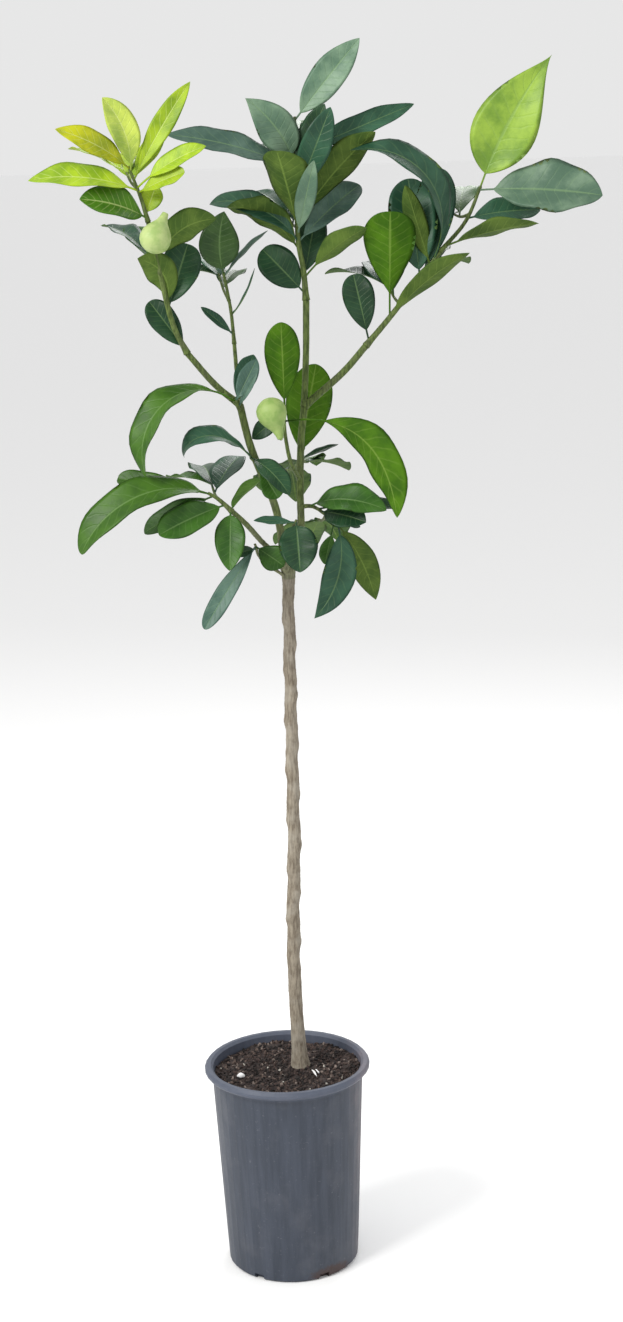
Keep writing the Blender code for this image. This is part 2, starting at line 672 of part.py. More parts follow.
def make_pot():
    """A tapered pot with a rolled lip, a flat floor and drain notches round its foot."""
    lip_low = POT_HEIGHT - LIP_HEIGHT
    wall_top = pot_radius(lip_low)
    outer = wall_top + LIP_OVERHANG
    mid = POT_HEIGHT - LIP_HEIGHT / 2
    profile = [
        (0, 0),
        (POT_FOOT_RADIUS - 0.003, 0),
        (POT_FOOT_RADIUS, 0.003),
        (pot_radius(0.030), 0.030),
        (pot_radius(0.120), 0.120),
        (wall_top, lip_low + 0.001),
        (outer - 0.0025, lip_low),
        (outer, mid - 0.0015),
        (outer, mid + 0.0015),
        (outer - 0.0025, POT_HEIGHT),
        (outer - 0.0070, POT_HEIGHT),
        (wall_top - POT_WALL + 0.0005, POT_HEIGHT - 0.003),
        (wall_top - POT_WALL, lip_low - 0.004),
        (pot_radius(0.120) - POT_WALL, 0.120),
        (pot_radius(0.020) - POT_WALL, 0.012),
        (POT_FOOT_RADIUS - POT_WALL - 0.004, POT_FLOOR),
        (0, POT_FLOOR),
    ]
    pot = turned("pot", profile, POT_SIDES, "pot_plastic")
    for k in range(NOTCH_COUNT):
        turn = NOTCH_TURN + 360 * k / NOTCH_COUNT
        bpy.ops.mesh.primitive_cube_add(size=1)
        cutter = bpy.context.object
        cutter.name = f"notch_cutter_{k}"
        cutter.scale = (0.014, NOTCH_WIDTH, NOTCH_HEIGHT * 2)
        cutter.rotation_euler = (0, 0, math.radians(turn))
        cutter.location = POT_FOOT_RADIUS * Vector((math.cos(math.radians(turn)),
                                                    math.sin(math.radians(turn)), 0))
        cutter.hide_render = True
        cutter.display_type = "WIRE"
        cut = pot.modifiers.new(f"notch_{k}", "BOOLEAN")
        cut.operation = "DIFFERENCE"
        cut.object = cutter
        cut.solver = "EXACT"
    return pot


def make_soil():
    """The soil that fills the pot, uneven on top but level round the trunk's foot."""
    rng = random.Random(SOIL_SEED)
    top_radius = pot_radius(SOIL_TOP) - POT_WALL - 2 * GAP
    low_radius = pot_radius(0.020) - POT_WALL - 0.006
    verts = []
    rows = []
    levels = [(low_radius, 0.012 + 2 * GAP), (pot_radius(0.120) - POT_WALL - 2 * GAP, 0.120)]
    for radius, height in levels:
        rows.append([len(verts) + k for k in range(SOIL_SIDES)])
        for k in range(SOIL_SIDES):
            angle = 2 * math.pi * k / SOIL_SIDES
            verts.append((radius * math.cos(angle), radius * math.sin(angle), height))
    for ring in range(SOIL_RINGS):
        radius = top_radius * (1 - ring / SOIL_RINGS)
        rows.append([len(verts) + k for k in range(SOIL_SIDES)])
        for k in range(SOIL_SIDES):
            angle = 2 * math.pi * k / SOIL_SIDES
            place = radius * np.array([math.cos(angle), math.sin(angle)])
            from_trunk = np.linalg.norm(place - np.array(TRUNK_FOOT))
            rough = 0.0 if from_trunk < 0.028 else rng.uniform(-1, 0.6) * SOIL_ROUGHNESS
            verts.append((place[0], place[1], SOIL_TOP + rough))
    middle = len(verts)
    verts.append((0, 0, SOIL_TOP))
    faces = [tuple(rows[0][::-1])]
    for low, high in zip(rows, rows[1:]):
        for k in range(SOIL_SIDES):
            nxt = (k + 1) % SOIL_SIDES
            faces += [(low[k], low[nxt], high[nxt]), (low[k], high[nxt], high[k])]
    for k in range(SOIL_SIDES):
        faces.append((rows[-1][k], rows[-1][(k + 1) % SOIL_SIDES], middle))
    return solid("soil", verts, faces, "soil")


def trunk_centre(height):
    """The trunk's centre line: it leans and bows a little, and steps from knob to knob."""
    share = (height - SOIL_TOP) / (HEAD[2] - SOIL_TOP)
    bow = -0.004 * math.sin(math.pi * min(share / 0.45, 1.0))
    step = 0.0012 * math.sin(math.pi * (height - FIRST_KNOB) / KNOB_SPACING) if share > 0.2 else 0.0
    x = TRUNK_FOOT[0] + (HEAD[0] - TRUNK_FOOT[0]) * share ** 1.5 + bow + step
    y = TRUNK_FOOT[1] + (HEAD[1] - TRUNK_FOOT[1]) * share
    return np.array([x, y, height])


def trunk_radius(height, angle):
    """The trunk's radius: taper, root flare, a swollen head, and knobs on alternate sides."""
    share = (height - SOIL_TOP) / (HEAD[2] - SOIL_TOP)
    radius = TRUNK_RADIUS_LOW + (TRUNK_RADIUS_HIGH - TRUNK_RADIUS_LOW) * share
    flare = (TRUNK_FLARE_RADIUS - TRUNK_RADIUS_LOW) * math.exp(-(height - SOIL_TOP) / FLARE_HEIGHT)
    head = (TRUNK_HEAD_RADIUS - TRUNK_RADIUS_HIGH) * math.exp(-(HEAD[2] - height) / 0.014)
    knobs = 0.0
    for k in range(KNOB_COUNT):
        facing = 180 * (k % 2) + 35 * math.sin(2.4 * k)
        towards = max(0.0, math.cos(angle - math.radians(facing)))
        far = (height - FIRST_KNOB - k * KNOB_SPACING) / KNOB_LENGTH
        knobs += KNOB_SIZE * math.exp(-far * far) * towards ** 2
    return radius + flare + head + knobs


def make_trunk():
    verts = []
    rings = TRUNK_RINGS
    for ring in range(rings):
        height = SOIL_TOP + GAP + (HEAD[2] - SOIL_TOP - GAP) * (ring / (rings - 1)) ** 1.08
        centre = trunk_centre(height)
        for k in range(TRUNK_SIDES):
            angle = 2 * math.pi * k / TRUNK_SIDES
            radius = trunk_radius(height, angle)
            verts.append(centre + radius * np.array([math.cos(angle), math.sin(angle), 0]))
    faces = [tuple(range(TRUNK_SIDES))[::-1], tuple(range(len(verts) - TRUNK_SIDES, len(verts)))]
    for ring in range(rings - 1):
        low = ring * TRUNK_SIDES
        for k in range(TRUNK_SIDES):
            nxt = (k + 1) % TRUNK_SIDES
            faces.append((low + k, low + nxt, low + TRUNK_SIDES + nxt, low + TRUNK_SIDES + k))
    return solid("trunk", verts, faces, "bark"), (verts, faces)


def make_limbs():
    """The boughs, each a separate tapering solid, and their meshes for the leaves to keep clear of."""
    tubes = limb_tubes()
    meshes = []
    for name in LIMBS:
        mesh = tube(*tubes[name], BOUGH_SIDES)
        solid(name, *mesh, "green_bark")
        meshes.append(mesh)
    return meshes


def main():
    for item in list(bpy.data.objects):
        bpy.data.objects.remove(item)
    make_pot()
    make_soil()
    _, trunk_mesh = make_trunk()
    limb_meshes = make_limbs() + [trunk_mesh]
    for name, parts in plan_foliage(limb_meshes).items():
        fuse(name, parts, "young_leaf" if name == "young_flush" else "leaf")


main()
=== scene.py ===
"""The looks of a young grapefruit standard in its nursery pot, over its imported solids.

Metres, +Z up, with the origin at the centre of the pot's underside. The viewer stands on -Y, so +X
is their right. Directions are a turn and a rise in degrees: turn 0 is the viewer's right, 90 is away
from them, 180 is left and 270 is towards them, and rise is the angle above level.

The limbs and leaves grow by the same rows and the same seeded rule as the solids. The wood has bark
relief, each leaf is a thin closed blade in its own outline, and crumbs cover the soil.
"""

import math
import random
from typing import NamedTuple

import bmesh
import bpy
import numpy as np
from mathutils import Matrix, Vector, noise
from mathutils.bvhtree import BVHTree


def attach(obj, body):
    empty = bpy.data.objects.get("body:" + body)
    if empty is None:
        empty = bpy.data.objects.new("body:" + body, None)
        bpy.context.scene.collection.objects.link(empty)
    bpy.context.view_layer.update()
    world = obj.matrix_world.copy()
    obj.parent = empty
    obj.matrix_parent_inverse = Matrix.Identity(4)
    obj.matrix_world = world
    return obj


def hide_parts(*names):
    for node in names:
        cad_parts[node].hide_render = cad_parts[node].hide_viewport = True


bl_info = {
    "name": "Potted grapefruit tree",
    "version": (1, 0, 0),
    "blender": (4, 5, 0),
    "location": "View3D > Sidebar > Plant",
    "description": "Builds the visible wood, leaves, young fruit, soil and pot of a small potted tree",
    "category": "Add Mesh",
}

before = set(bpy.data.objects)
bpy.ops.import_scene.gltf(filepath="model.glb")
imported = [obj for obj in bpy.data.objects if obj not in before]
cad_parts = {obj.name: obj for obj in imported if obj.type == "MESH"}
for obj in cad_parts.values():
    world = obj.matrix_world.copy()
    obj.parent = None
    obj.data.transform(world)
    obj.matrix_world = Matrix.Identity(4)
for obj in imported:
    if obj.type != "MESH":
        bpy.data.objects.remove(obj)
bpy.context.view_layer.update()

MM = 0.001
GAP = 0.3 * MM

# Trunk
SOIL_TOP = 0.240
TRUNK_FOOT = (0.016, 0.012)
TRUNK_FLARE_RADIUS = 0.0125
TRUNK_RADIUS_LOW = 0.0082
TRUNK_RADIUS_HIGH = 0.0066
TRUNK_HEAD_RADIUS = 0.0088
TRUNK_RINGS = 38
FLARE_HEIGHT = 0.016
FIRST_KNOB = 0.400
KNOB_SPACING = 0.0305
KNOB_COUNT = 14
KNOB_SIZE = 0.0017
KNOB_LENGTH = 0.0065

# Joints of the limbs
HEAD = (0.022, 0.000, 0.856)
LEFT_FORK = (-0.025, -0.025, 1.048)
LEFT_SHOULDER = (-0.080, -0.048, 1.109)
FLUSH_START = (-0.114, -0.080, 1.253)
FLUSH_TIP = (-0.132, -0.085, 1.312)
THIN_TOP = (-0.040, 0.050, 1.191)
CENTRE_FORK = (0.047, 0.030, 1.038)
UPRIGHT_TOP = (0.053, 0.040, 1.157)
CENTRE_TIP = (0.047, 0.045, 1.360)
RIGHT_SHOULDER = (0.119, 0.030, 1.104)
RIGHT_ELBOW = (0.206, 0.040, 1.206)
RIGHT_TIP = (0.254, 0.050, 1.277)
LOW_LEFT_END = (-0.038, -0.050, 0.932)

# Limbs
BOUGH_SIDES = 8
STEM_SIDES = 6
START_STEP = 0.00025
START_SEARCH = 0.7

# Leaves
LEAF_THICKNESS = 0.0018
STALK_WIDTH = 0.0024
LEAF_FOLD = 17.0
SMALL_LEAF = 62.0
SMALL_RINGS = (0.18, 0.50, 0.82)
MIDDLE_LEAF = 100.0
MIDDLE_RINGS = (0.15, 0.38, 0.63, 0.86)
LARGE_RINGS = (0.13, 0.31, 0.51, 0.71, 0.89)
BEND_STEPS = 40
CURL_START = 0.5
GOLDEN_ANGLE = 137.5
LEAF_SEED = 11
BACK_FAN = 22.0
TEST_MARGIN = 0.0012

# Wood: the green of its bark starts just below the head and is full a little way above it
WOOD_STEP = 0.0013
TRUNK_COLUMNS = 40
BOUGH_COLUMNS = 26
TWIG_COLUMNS = 12
COLLAR_SWELL = 0.35
COLLAR_LENGTH = 0.006
TWIG_RADII = (0.0018, 0.0013)
GREEN_START = 0.012
GREEN_RISE = 0.10
GREEN_SMOOTHNESS = 0.75
BARK_STRETCH = 0.22
STUB_ROUTE = ((0.021, -0.004, 0.853), (0.018, -0.013, 0.862), (0.016, -0.019, 0.866))
STUB_RADII = (0.0052, 0.0050, 0.0044)

# Blades: shares are of the half width, the thickness or the length that they scale
PETIOLE_RADIUS = 0.0011
PETIOLE_TAPER = 0.85
RIB_WIDTH = 0.0011
RIB_HEIGHT = 0.8
RIB_GROOVE = 0.3
BLADE_EASE = 0.06
TIP_HALF = 0.00015
COLUMN_CROWDING = 1.25
FOLD_ROUNDING = 0.02
SIDE_SHIFT = 1.2
EDGE_THINNING = 0.6
TIP_THINNING = 0.5
WAVES = (1.5, 3.0)
TINT_SHIFT = (0.76, 1.0)

# Young fruit: its profile is the share of its length along it, and the share of its half width there
FRUIT_PROFILE = (
    (-0.42, 0.02), (-0.41, 0.24), (-0.37, 0.50), (-0.30, 0.76), (-0.20, 0.94), (-0.08, 1.0),
    (0.06, 0.95), (0.18, 0.79), (0.29, 0.58), (0.39, 0.38), (0.50, 0.27), (0.62, 0.20))
FRUIT_COLUMNS = 32
FRUIT_STALK_RADII = (0.0022, 0.0018)
FRUIT_STALK_COLUMNS = 14

# Pale chips on the soil: each a route and its radii
CHIPS = (
    (((-0.0600, -0.0210, 0.2432), (-0.0555, -0.0225, 0.2446), (-0.0515, -0.0215, 0.2430)),
     (0.0012, 0.0036, 0.0016)),
    (((0.0300, -0.0120, 0.2440), (0.0322, -0.0190, 0.2446), (0.0352, -0.0290, 0.2434)),
     (0.0006, 0.0013, 0.0005)),
    (((0.0345, -0.0105, 0.2440), (0.0380, -0.0200, 0.2438)), (0.0006, 0.0009)),
)

# Pot and floor
STAIN_PLACE = (0.046, -0.064, 0.004)
STAIN_SPREAD = (0.034, 0.034, 0.013)
FLOOR_REACH = 400.0

# Camera
PHOTO_HEIGHT = 1322
FOCAL_PIXELS = 2212
CAMERA_PLACE = (0.0455, -2.5, 1.314)
CAMERA_TILT = 12.8
CAMERA_ROLL = 1.9


class Leaf(NamedTuple):
    """One leaf: where it sits on its shoot, where its tip points, and the way its upper side looks."""
    at: float
    turn: float
    rise: float
    long: float
    wide: float
    faces: tuple
    arch: float = 20.0
    sway: float = 0.0
    curl: float = 0.0
    belly: float = 0.52
    point: float = 0.8
    stalk: float = 0.09


class Fruit(NamedTuple):
    """One young fruit: its centre, the way its narrow neck points, and its width and length."""
    centre: tuple
    turn: float
    rise: float
    wide: float
    long: float


class Limb(NamedTuple):
    """One tapering limb: its route, its radius at each end, and the limbs it springs from."""
    route: tuple
    radius: tuple
    hosts: tuple


class Shoot(NamedTuple):
    """One mass of foliage: its stem, the leaves that show, and the seeded twigs that fill its back."""
    stem: Limb
    leaves: tuple
    twigs: int
    twig_rise: float
    fruit: tuple = ()


LIMBS = {
    "left_bough": Limb(
        ((0.0165, -0.002, 0.857), (0.016, -0.004, 0.890), (0.010, -0.010, 0.930),
         (-0.004, -0.015, 0.968), (-0.016, -0.020, 1.004), LEFT_FORK), (0.0045, 0.0042), ()),
    "upper_left_bough": Limb(
        (LEFT_FORK, (-0.051, -0.036, 1.072), LEFT_SHOULDER), (0.0038, 0.0034), ("left_bough",)),
    "thin_bough": Limb(
        (LEFT_FORK, (-0.028, 0.004, 1.082), (-0.030, 0.024, 1.112)), (0.0024, 0.0022),
        ("left_bough", "upper_left_bough")),
    "centre_bough": Limb(
        ((0.0275, 0.003, 0.857), (0.038, 0.010, 0.895), (0.039, 0.018, 0.945),
         (0.042, 0.026, 1.000), CENTRE_FORK), (0.0043, 0.0040), ("left_bough",)),
    "upright_bough": Limb(
        (CENTRE_FORK, (0.051, 0.036, 1.101), UPRIGHT_TOP), (0.0036, 0.0038), ("centre_bough",)),
    "right_bough": Limb(
        (CENTRE_FORK, (0.091, 0.029, 1.074), RIGHT_SHOULDER), (0.0042, 0.0038),
        ("centre_bough", "upright_bough")),
    "low_left_bough": Limb(
        ((0.018, -0.003, 0.864), (-0.005, -0.020, 0.890), (-0.022, -0.038, 0.914), LOW_LEFT_END),
        (0.0030, 0.0030), ("trunk", "left_bough")),
}

SHOOTS = {
    "upper_left_foliage": Shoot(
        Limb((LEFT_SHOULDER, (-0.094, -0.057, 1.142), (-0.105, -0.070, 1.200), FLUSH_START),
             (0.0032, 0.0026), ("upper_left_bough",)),
        (Leaf(0.72, 18, 31, 80, 38, (115, 15), arch=25, sway=0.14),
         Leaf(0.38, 218, 55, 64, 36, (110, 25), sway=-0.22, point=0.9),
         Leaf(0.36, 50, 62, 76, 46, (270, 10), belly=0.58, point=0.55),
         Leaf(0.02, 176, 55, 66, 32, (270, 20), belly=0.62, point=0.5)),
        1, 15,
        (Fruit((-0.105, -0.098, 1.238), 40, 60, 34, 44),)),
    "young_flush": Shoot(
        Limb((FLUSH_START, (-0.121, -0.083, 1.280), FLUSH_TIP), (0.0024, 0.0014),
             ("upper_left_foliage",)),
        (Leaf(0.55, 188, 7, 117, 38, (270, 48), arch=45, belly=0.5, point=0.9),
         Leaf(0.95, 206, 28, 92, 30, (280, 30), arch=50, point=0.9),
         Leaf(0.90, 225, 66, 84, 34, (285, 15), arch=15, sway=0.10),
         Leaf(0.75, 8, 57, 119, 25, (268, 10), arch=25, sway=-0.01, point=0.9),
         Leaf(0.75, 32, 52, 68, 24, (255, 20), arch=20),
         Leaf(0.60, 348, 28, 88, 27, (265, 40), arch=35, stalk=0.22),
         Leaf(0.52, 333, 19, 61, 24, (270, 35), arch=15, belly=0.62, point=0.45),
         Leaf(0.05, 203, 17, 78, 46, (270, 42), arch=40, belly=0.5),
         Leaf(0.12, 44, 62, 34, 26, (270, 10))),
        1, 15),
    "thin_foliage": Shoot(
        Limb(((-0.030, 0.024, 1.112), (-0.033, 0.038, 1.150), THIN_TOP), (0.0021, 0.0017),
             ("thin_bough",)),
        (Leaf(0.97, 285, 78, 72, 48, (270, 12), sway=-0.07, belly=0.44, point=0.95),
         Leaf(0.12, 182, 42, 48, 13, (270, 40), arch=10),
         Leaf(0.40, 40, 54, 62, 7, (200, 30), arch=-30),
         Leaf(0.95, 17, 42, 72, 14, (250, 75), arch=15)),
        1, 15),
    "centre_foliage": Shoot(
        Limb((UPRIGHT_TOP, (0.051, 0.044, 1.191), (0.046, 0.045, 1.225), (0.046, 0.045, 1.270),
              (0.046, 0.045, 1.315), CENTRE_TIP), (0.0035, 0.0016), ("upright_bough",)),
        (Leaf(0.98, 356, 49, 114, 40, (270, 15), arch=15, belly=0.48, point=0.9),
         Leaf(0.73, 195, 54, 94, 46, (262, 20), sway=0.08, belly=0.4, point=1.1, stalk=0.14),
         Leaf(0.72, 190, 16, 150, 36, (270, 42), arch=30),
         Leaf(0.40, 246, 60, 98, 58, (60, 30), arch=10, belly=0.68, point=0.5),
         Leaf(0.27, 208, 30, 104, 46, (75, 45), arch=80),
         Leaf(0.32, 171, 24, 110, 36, (270, 45), arch=105),
         Leaf(0.03, 159, 45, 72, 44, (270, 12), belly=0.56, point=0.55, stalk=0.15),
         Leaf(0.68, 337, 64, 86, 32, (245, 5), arch=10),
         Leaf(0.58, 325, 62, 106, 36, (275, 0), arch=15),
         Leaf(0.36, 296, 60, 94, 24, (265, 0), arch=10),
         Leaf(0.42, 351, 47, 134, 46, (110, 30), arch=35, stalk=0.15),
         Leaf(0.32, 30, 36, 103, 40, (270, 40), arch=25, belly=0.6, point=0.6),
         Leaf(0.12, 336, 35, 95, 33, (100, 40), arch=40, stalk=0.2),
         Leaf(0.80, 12, 20, 148, 30, (265, 28), arch=0),
         Leaf(0.12, 70, 56, 90, 36, (270, 12))),
        3, 10),
    "right_foliage": Shoot(
        Limb((RIGHT_SHOULDER, (0.147, 0.032, 1.135), (0.192, 0.038, 1.188), RIGHT_ELBOW),
             (0.0035, 0.0026), ("right_bough",)),
        (Leaf(0.31, 277, 80, 120, 62, (90, 8), belly=0.68, point=0.5, stalk=0.22),
         Leaf(0.04, 166, 78, 78, 38, (270, 8), belly=0.62, point=0.5, stalk=0.18),
         Leaf(0.28, 341, 37, 122, 32, (100, 45), arch=35, point=0.9),
         Leaf(0.72, 106, 73, 116, 58, (270, 5), belly=0.58, point=0.55),
         Leaf(0.78, 60, 68, 124, 48, (268, 5), arch=15, belly=0.58, point=0.55),
         Leaf(0.88, 185, 55, 156, 50, (317, 28), arch=120, sway=0.17, point=0.9),
         Leaf(0.86, 195, 73, 94, 26, (95, 10), arch=10)),
        2, 15),
    "right_tip_foliage": Shoot(
        Limb((RIGHT_ELBOW, (0.236, 0.045, 1.239), RIGHT_TIP), (0.0025, 0.0018), ("right_foliage",)),
        (Leaf(1.00, 353, 60, 162, 76, (270, 15), arch=12, sway=-0.04, belly=0.36, point=1.45),
         Leaf(0.95, 343, -4, 140, 72, (270, 35), arch=20, belly=0.54, point=0.75, stalk=0.12),
         Leaf(0.55, 10, 4, 86, 38, (270, 40), arch=25),
         Leaf(0.09, 343, 12, 110, 38, (90, 60), arch=20, point=1.0, stalk=0.12)),
        1, 0),
    "left_fork_foliage": Shoot(
        Limb(((-0.023, -0.024, 1.036), (-0.030, -0.037, 1.054)), (0.0022, 0.0020), ("left_bough",)),
        (Leaf(0.90, 206, -34, 134, 46, (235, 45), arch=140, sway=0.14, point=0.8, stalk=0.14),
         Leaf(0.80, 31, 57, 54, 22, (270, 10)),
         Leaf(0.90, 62, 46, 66, 26, (270, 20)),
         Leaf(0.02, 340, 58, 46, 9, (270, 20))),
        1, 10),
    "left_bough_foliage": Shoot(
        Limb(((-0.007, -0.017, 0.978), (-0.015, -0.030, 0.989)), (0.0020, 0.0018), ("left_bough",)),
        (Leaf(0.60, 204, 6, 82, 32, (250, 50), arch=70, curl=100, point=0.9, stalk=0.12),
         Leaf(0.95, 322, -36, 66, 30, (290, 40), arch=50),
         Leaf(0.10, 320, -50, 52, 27, (275, 25), arch=15, belly=0.68, point=0.55, stalk=0.25)),
        0, 0),
    "centre_front_foliage": Shoot(
        Limb(((0.039, 0.019, 0.955), (0.029, -0.012, 0.982), (0.024, -0.017, 1.017),
              (0.025, -0.014, 1.045)), (0.0026, 0.0018), ("centre_bough",)),
        (Leaf(0.97, 264, 85, 96, 42, (90, 5), belly=0.6, point=0.6),
         Leaf(0.82, 332, -37, 172, 52, (75, 20), arch=25, sway=0.25, belly=0.58, point=0.8, stalk=0.22),
         Leaf(0.92, 172, -38, 48, 22, (270, 20))),
        0, 0,
        (Fruit((0.011, -0.037, 1.037), 330, -70, 34, 46),)),
    "centre_back_foliage": Shoot(
        Limb(((0.039, 0.019, 0.955), (0.037, 0.045, 0.967), (0.045, 0.075, 0.985)),
             (0.0026, 0.0016), ("centre_bough",)),
        (Leaf(0.30, 42, 74, 122, 56, (90, 10), belly=0.6, point=0.6, stalk=0.18),
         Leaf(0.60, 29, 14, 54, 10, (270, 60), arch=10)),
        2, -20),
    "low_left_foliage": Shoot(
        Limb((LOW_LEFT_END, (-0.052, -0.057, 0.947), (-0.063, -0.061, 0.955)),
             (0.0028, 0.0018), ("low_left_bough",)),
        (Leaf(0.85, 195, -20, 160, 46, (262, 45), arch=88, sway=0.1, belly=0.56, point=0.5, stalk=0.08),
         Leaf(0.80, 168, -27, 92, 31, (270, 45), arch=20, belly=0.58, point=0.6),
         Leaf(0.30, 208, -17, 86, 42, (270, 35), arch=25, belly=0.58, point=0.55),
         Leaf(0.04, 266, -60, 72, 36, (272, 22), arch=15, belly=0.45),
         Leaf(0.95, 166, 9, 108, 26, (270, 35), arch=10, belly=0.72, point=0.4)),
        1, 5),
    "head_left_foliage": Shoot(
        Limb(((0.020, -0.002, 0.846), (-0.007, -0.030, 0.872), (-0.014, -0.038, 0.892)),
             (0.0018, 0.0014), ("trunk",)),
        (Leaf(0.95, 204, -53, 110, 24, (262, 20), arch=15, belly=0.62, point=0.5, stalk=0.06),
         Leaf(0.95, 340, -33, 40, 32, (270, 20), belly=0.6),
         Leaf(0.90, 200, -10, 30, 14, (270, 30))),
        0, 0),
    "head_right_foliage": Shoot(
        Limb(((0.038, 0.014, 0.925), (0.056, 0.008, 0.924), (0.082, 0.000, 0.903)),
             (0.0024, 0.0016), ("centre_bough",)),
        (Leaf(0.14, 337, -1, 94, 42, (268, 46), arch=75, stalk=0.12),
         Leaf(0.45, 322, -7, 64, 40, (270, 35), arch=30),
         Leaf(0.50, 20, -24, 50, 20, (270, 45), arch=20),
         Leaf(0.97, 219, -69, 110, 40, (278, 12), sway=-0.13, belly=0.45, point=1.0),
         Leaf(0.85, 150, -74, 52, 20, (270, 15), stalk=0.3),
         Leaf(0.97, 40, -60, 110, 36, (95, 10), arch=20, sway=0.05, point=0.9),
         Leaf(0.35, 350, 1, 98, 24, (270, 50), arch=30)),
        1, -20),
    "head_front_foliage": Shoot(
        Limb(((0.016, -0.005, 0.880), (0.034, -0.028, 0.916)), (0.0020, 0.0016), ("left_bough",)),
        (Leaf(0.95, 276, -64, 60, 46, (275, 22), arch=10, belly=0.45, point=0.7),
         Leaf(0.90, 205, 8, 52, 13, (270, 45), arch=10)),
        0, 0),
}

# Each tint is the colour of a leaf's upper side and of its underside, in sRGB from 0 to 255.
TINTS = {
    "pale lime": ((184, 204, 92), (184, 198, 98)),
    "lime": ((146, 176, 36), (162, 184, 56)),
    "yellow": ((168, 176, 24), (184, 196, 84)),
    "low lime": ((72, 120, 20), (120, 156, 70)),
    "pale": ((128, 160, 62), (150, 178, 100)),
    "fresh": ((58, 98, 22), (64, 102, 18)),
    "green": ((52, 92, 30), (72, 108, 40)),
    "olive": ((58, 88, 44), (82, 106, 48)),
    "deep": ((34, 68, 44), (78, 104, 56)),
    "teal": ((46, 84, 66), (84, 110, 62)),
    # The upper sides of "blue" and "grey" are the leaf's green paled towards blue-grey by a painted
    # highlight, the sheen of the sky on a glossy upper side.
    "blue": ((84, 112, 104), (104, 124, 96)),
    "grey": ((106, 134, 116), (112, 132, 92)),
}
# Leaves tinted "blue" or "grey" carry that painted sheen on their upper side.
SPRAY_TINTS = {
    "upper_left_foliage": ("olive", "olive", "deep", "deep"),
    "young_flush": ("lime", "yellow", "pale lime", "lime", "lime", "lime", "lime", "low lime",
                    "lime"),
    "thin_foliage": ("olive", "teal", "teal", "blue"),
    "centre_foliage": ("grey", "grey", "blue", "olive", "olive", "teal", "deep", "deep", "teal",
                       "grey", "olive", "blue", "olive", "teal", "deep"),
    "right_foliage": ("fresh", "deep", "olive", "teal", "teal", "teal", "olive"),
    "right_tip_foliage": ("pale", "grey", "teal", "olive"),
    "left_fork_foliage": ("fresh", "blue", "teal", "blue"),
    "left_bough_foliage": ("teal", "deep", "green"),
    "centre_front_foliage": ("fresh", "fresh", "deep"),
    "centre_back_foliage": ("fresh", "deep"),
    "low_left_foliage": ("fresh", "green", "green", "green", "fresh"),
    "head_left_foliage": ("blue", "green", "deep"),
    "head_right_foliage": ("green", "deep", "deep", "teal", "green", "olive", "deep"),
    "head_front_foliage": ("deep", "teal"),
}
SEEDED_TINTS = ("deep", "green", "teal")
YOUNG_SHOOT = "young_flush"
FRUIT_TINTS = ((166, 182, 118), (144, 166, 96))


def heading(turn, rise):
    """The unit direction of a turn and a rise."""
    flat = math.cos(math.radians(rise))
    return np.array([flat * math.cos(math.radians(turn)), flat * math.sin(math.radians(turn)),
                     math.sin(math.radians(rise))])


def unit(vector):
    return vector / np.linalg.norm(vector)


def smooth_route(route, steps):
    """Points on a smooth curve through the route, with this many steps in each span."""
    points = np.array(route, float)
    ends = np.vstack([2 * points[0] - points[1], points, 2 * points[-1] - points[-2]])
    curve = []
    for k in range(len(points) - 1):
        before, start, end, after = ends[k:k + 4]
        for t in np.arange(steps) / steps:
            bend = 2 * before - 5 * start + 4 * end - after
            turn_in = 3 * start - before - 3 * end + after
            curve.append(start + 0.5 * (t * (end - before) + t * t * bend + t ** 3 * turn_in))
    curve.append(points[-1])
    return np.array(curve)


def point_at(curve, share):
    """The point a share of the way along a curve, and the curve's direction there."""
    spans = np.linalg.norm(np.diff(curve, axis=0), axis=1)
    along = np.concatenate([[0.0], np.cumsum(spans)]) / spans.sum()
    place = np.array([np.interp(share, along, curve[:, k]) for k in range(3)])
    span = min(int(np.searchsorted(along, share, side="right")) - 1, len(spans) - 1)
    return place, unit(curve[span + 1] - curve[span])


def tube(curve, radii, sides):
    """Vertices and faces of a tube with flat ends along a curve."""
    directions = np.gradient(curve, axis=0)
    side = unit(np.cross(directions[0], heading(90, 20)))
    verts = []
    for place, direction, radius in zip(curve, directions, radii):
        direction = unit(direction)
        side = unit(side - direction * side.dot(direction))
        up = np.cross(direction, side)
        for k in range(sides):
            angle = 2 * math.pi * k / sides
            verts.append(place + radius * (math.cos(angle) * side + math.sin(angle) * up))
    faces = [tuple(range(sides))[::-1], tuple(range(len(verts) - sides, len(verts)))]
    for ring in range(len(curve) - 1):
        low = ring * sides
        for k in range(sides):
            nxt = (k + 1) % sides
            faces.append((low + k, low + nxt, low + sides + nxt, low + sides + k))
    return verts, faces


def depth_inside(points, curve, radii):
    """How far the deepest of some points lies inside a tube with flat ends, less the gap to keep."""
    deepest = -1.0
    last = len(curve) - 2
    for k in range(len(curve) - 1):
        span = curve[k + 1] - curve[k]
        long = np.linalg.norm(span)
        along = (points - curve[k]) @ span / long
        low = -GAP if k == 0 else -radii[k]
        high = long + (GAP if k == last else radii[k])
        near = (along > low) & (along < high)
        if near.any():
            off = np.linalg.norm(points - curve[k] - np.outer(along / long, span), axis=1)
            deepest = max(deepest, (max(radii[k], radii[k + 1]) + GAP - off[near]).max())
    return deepest


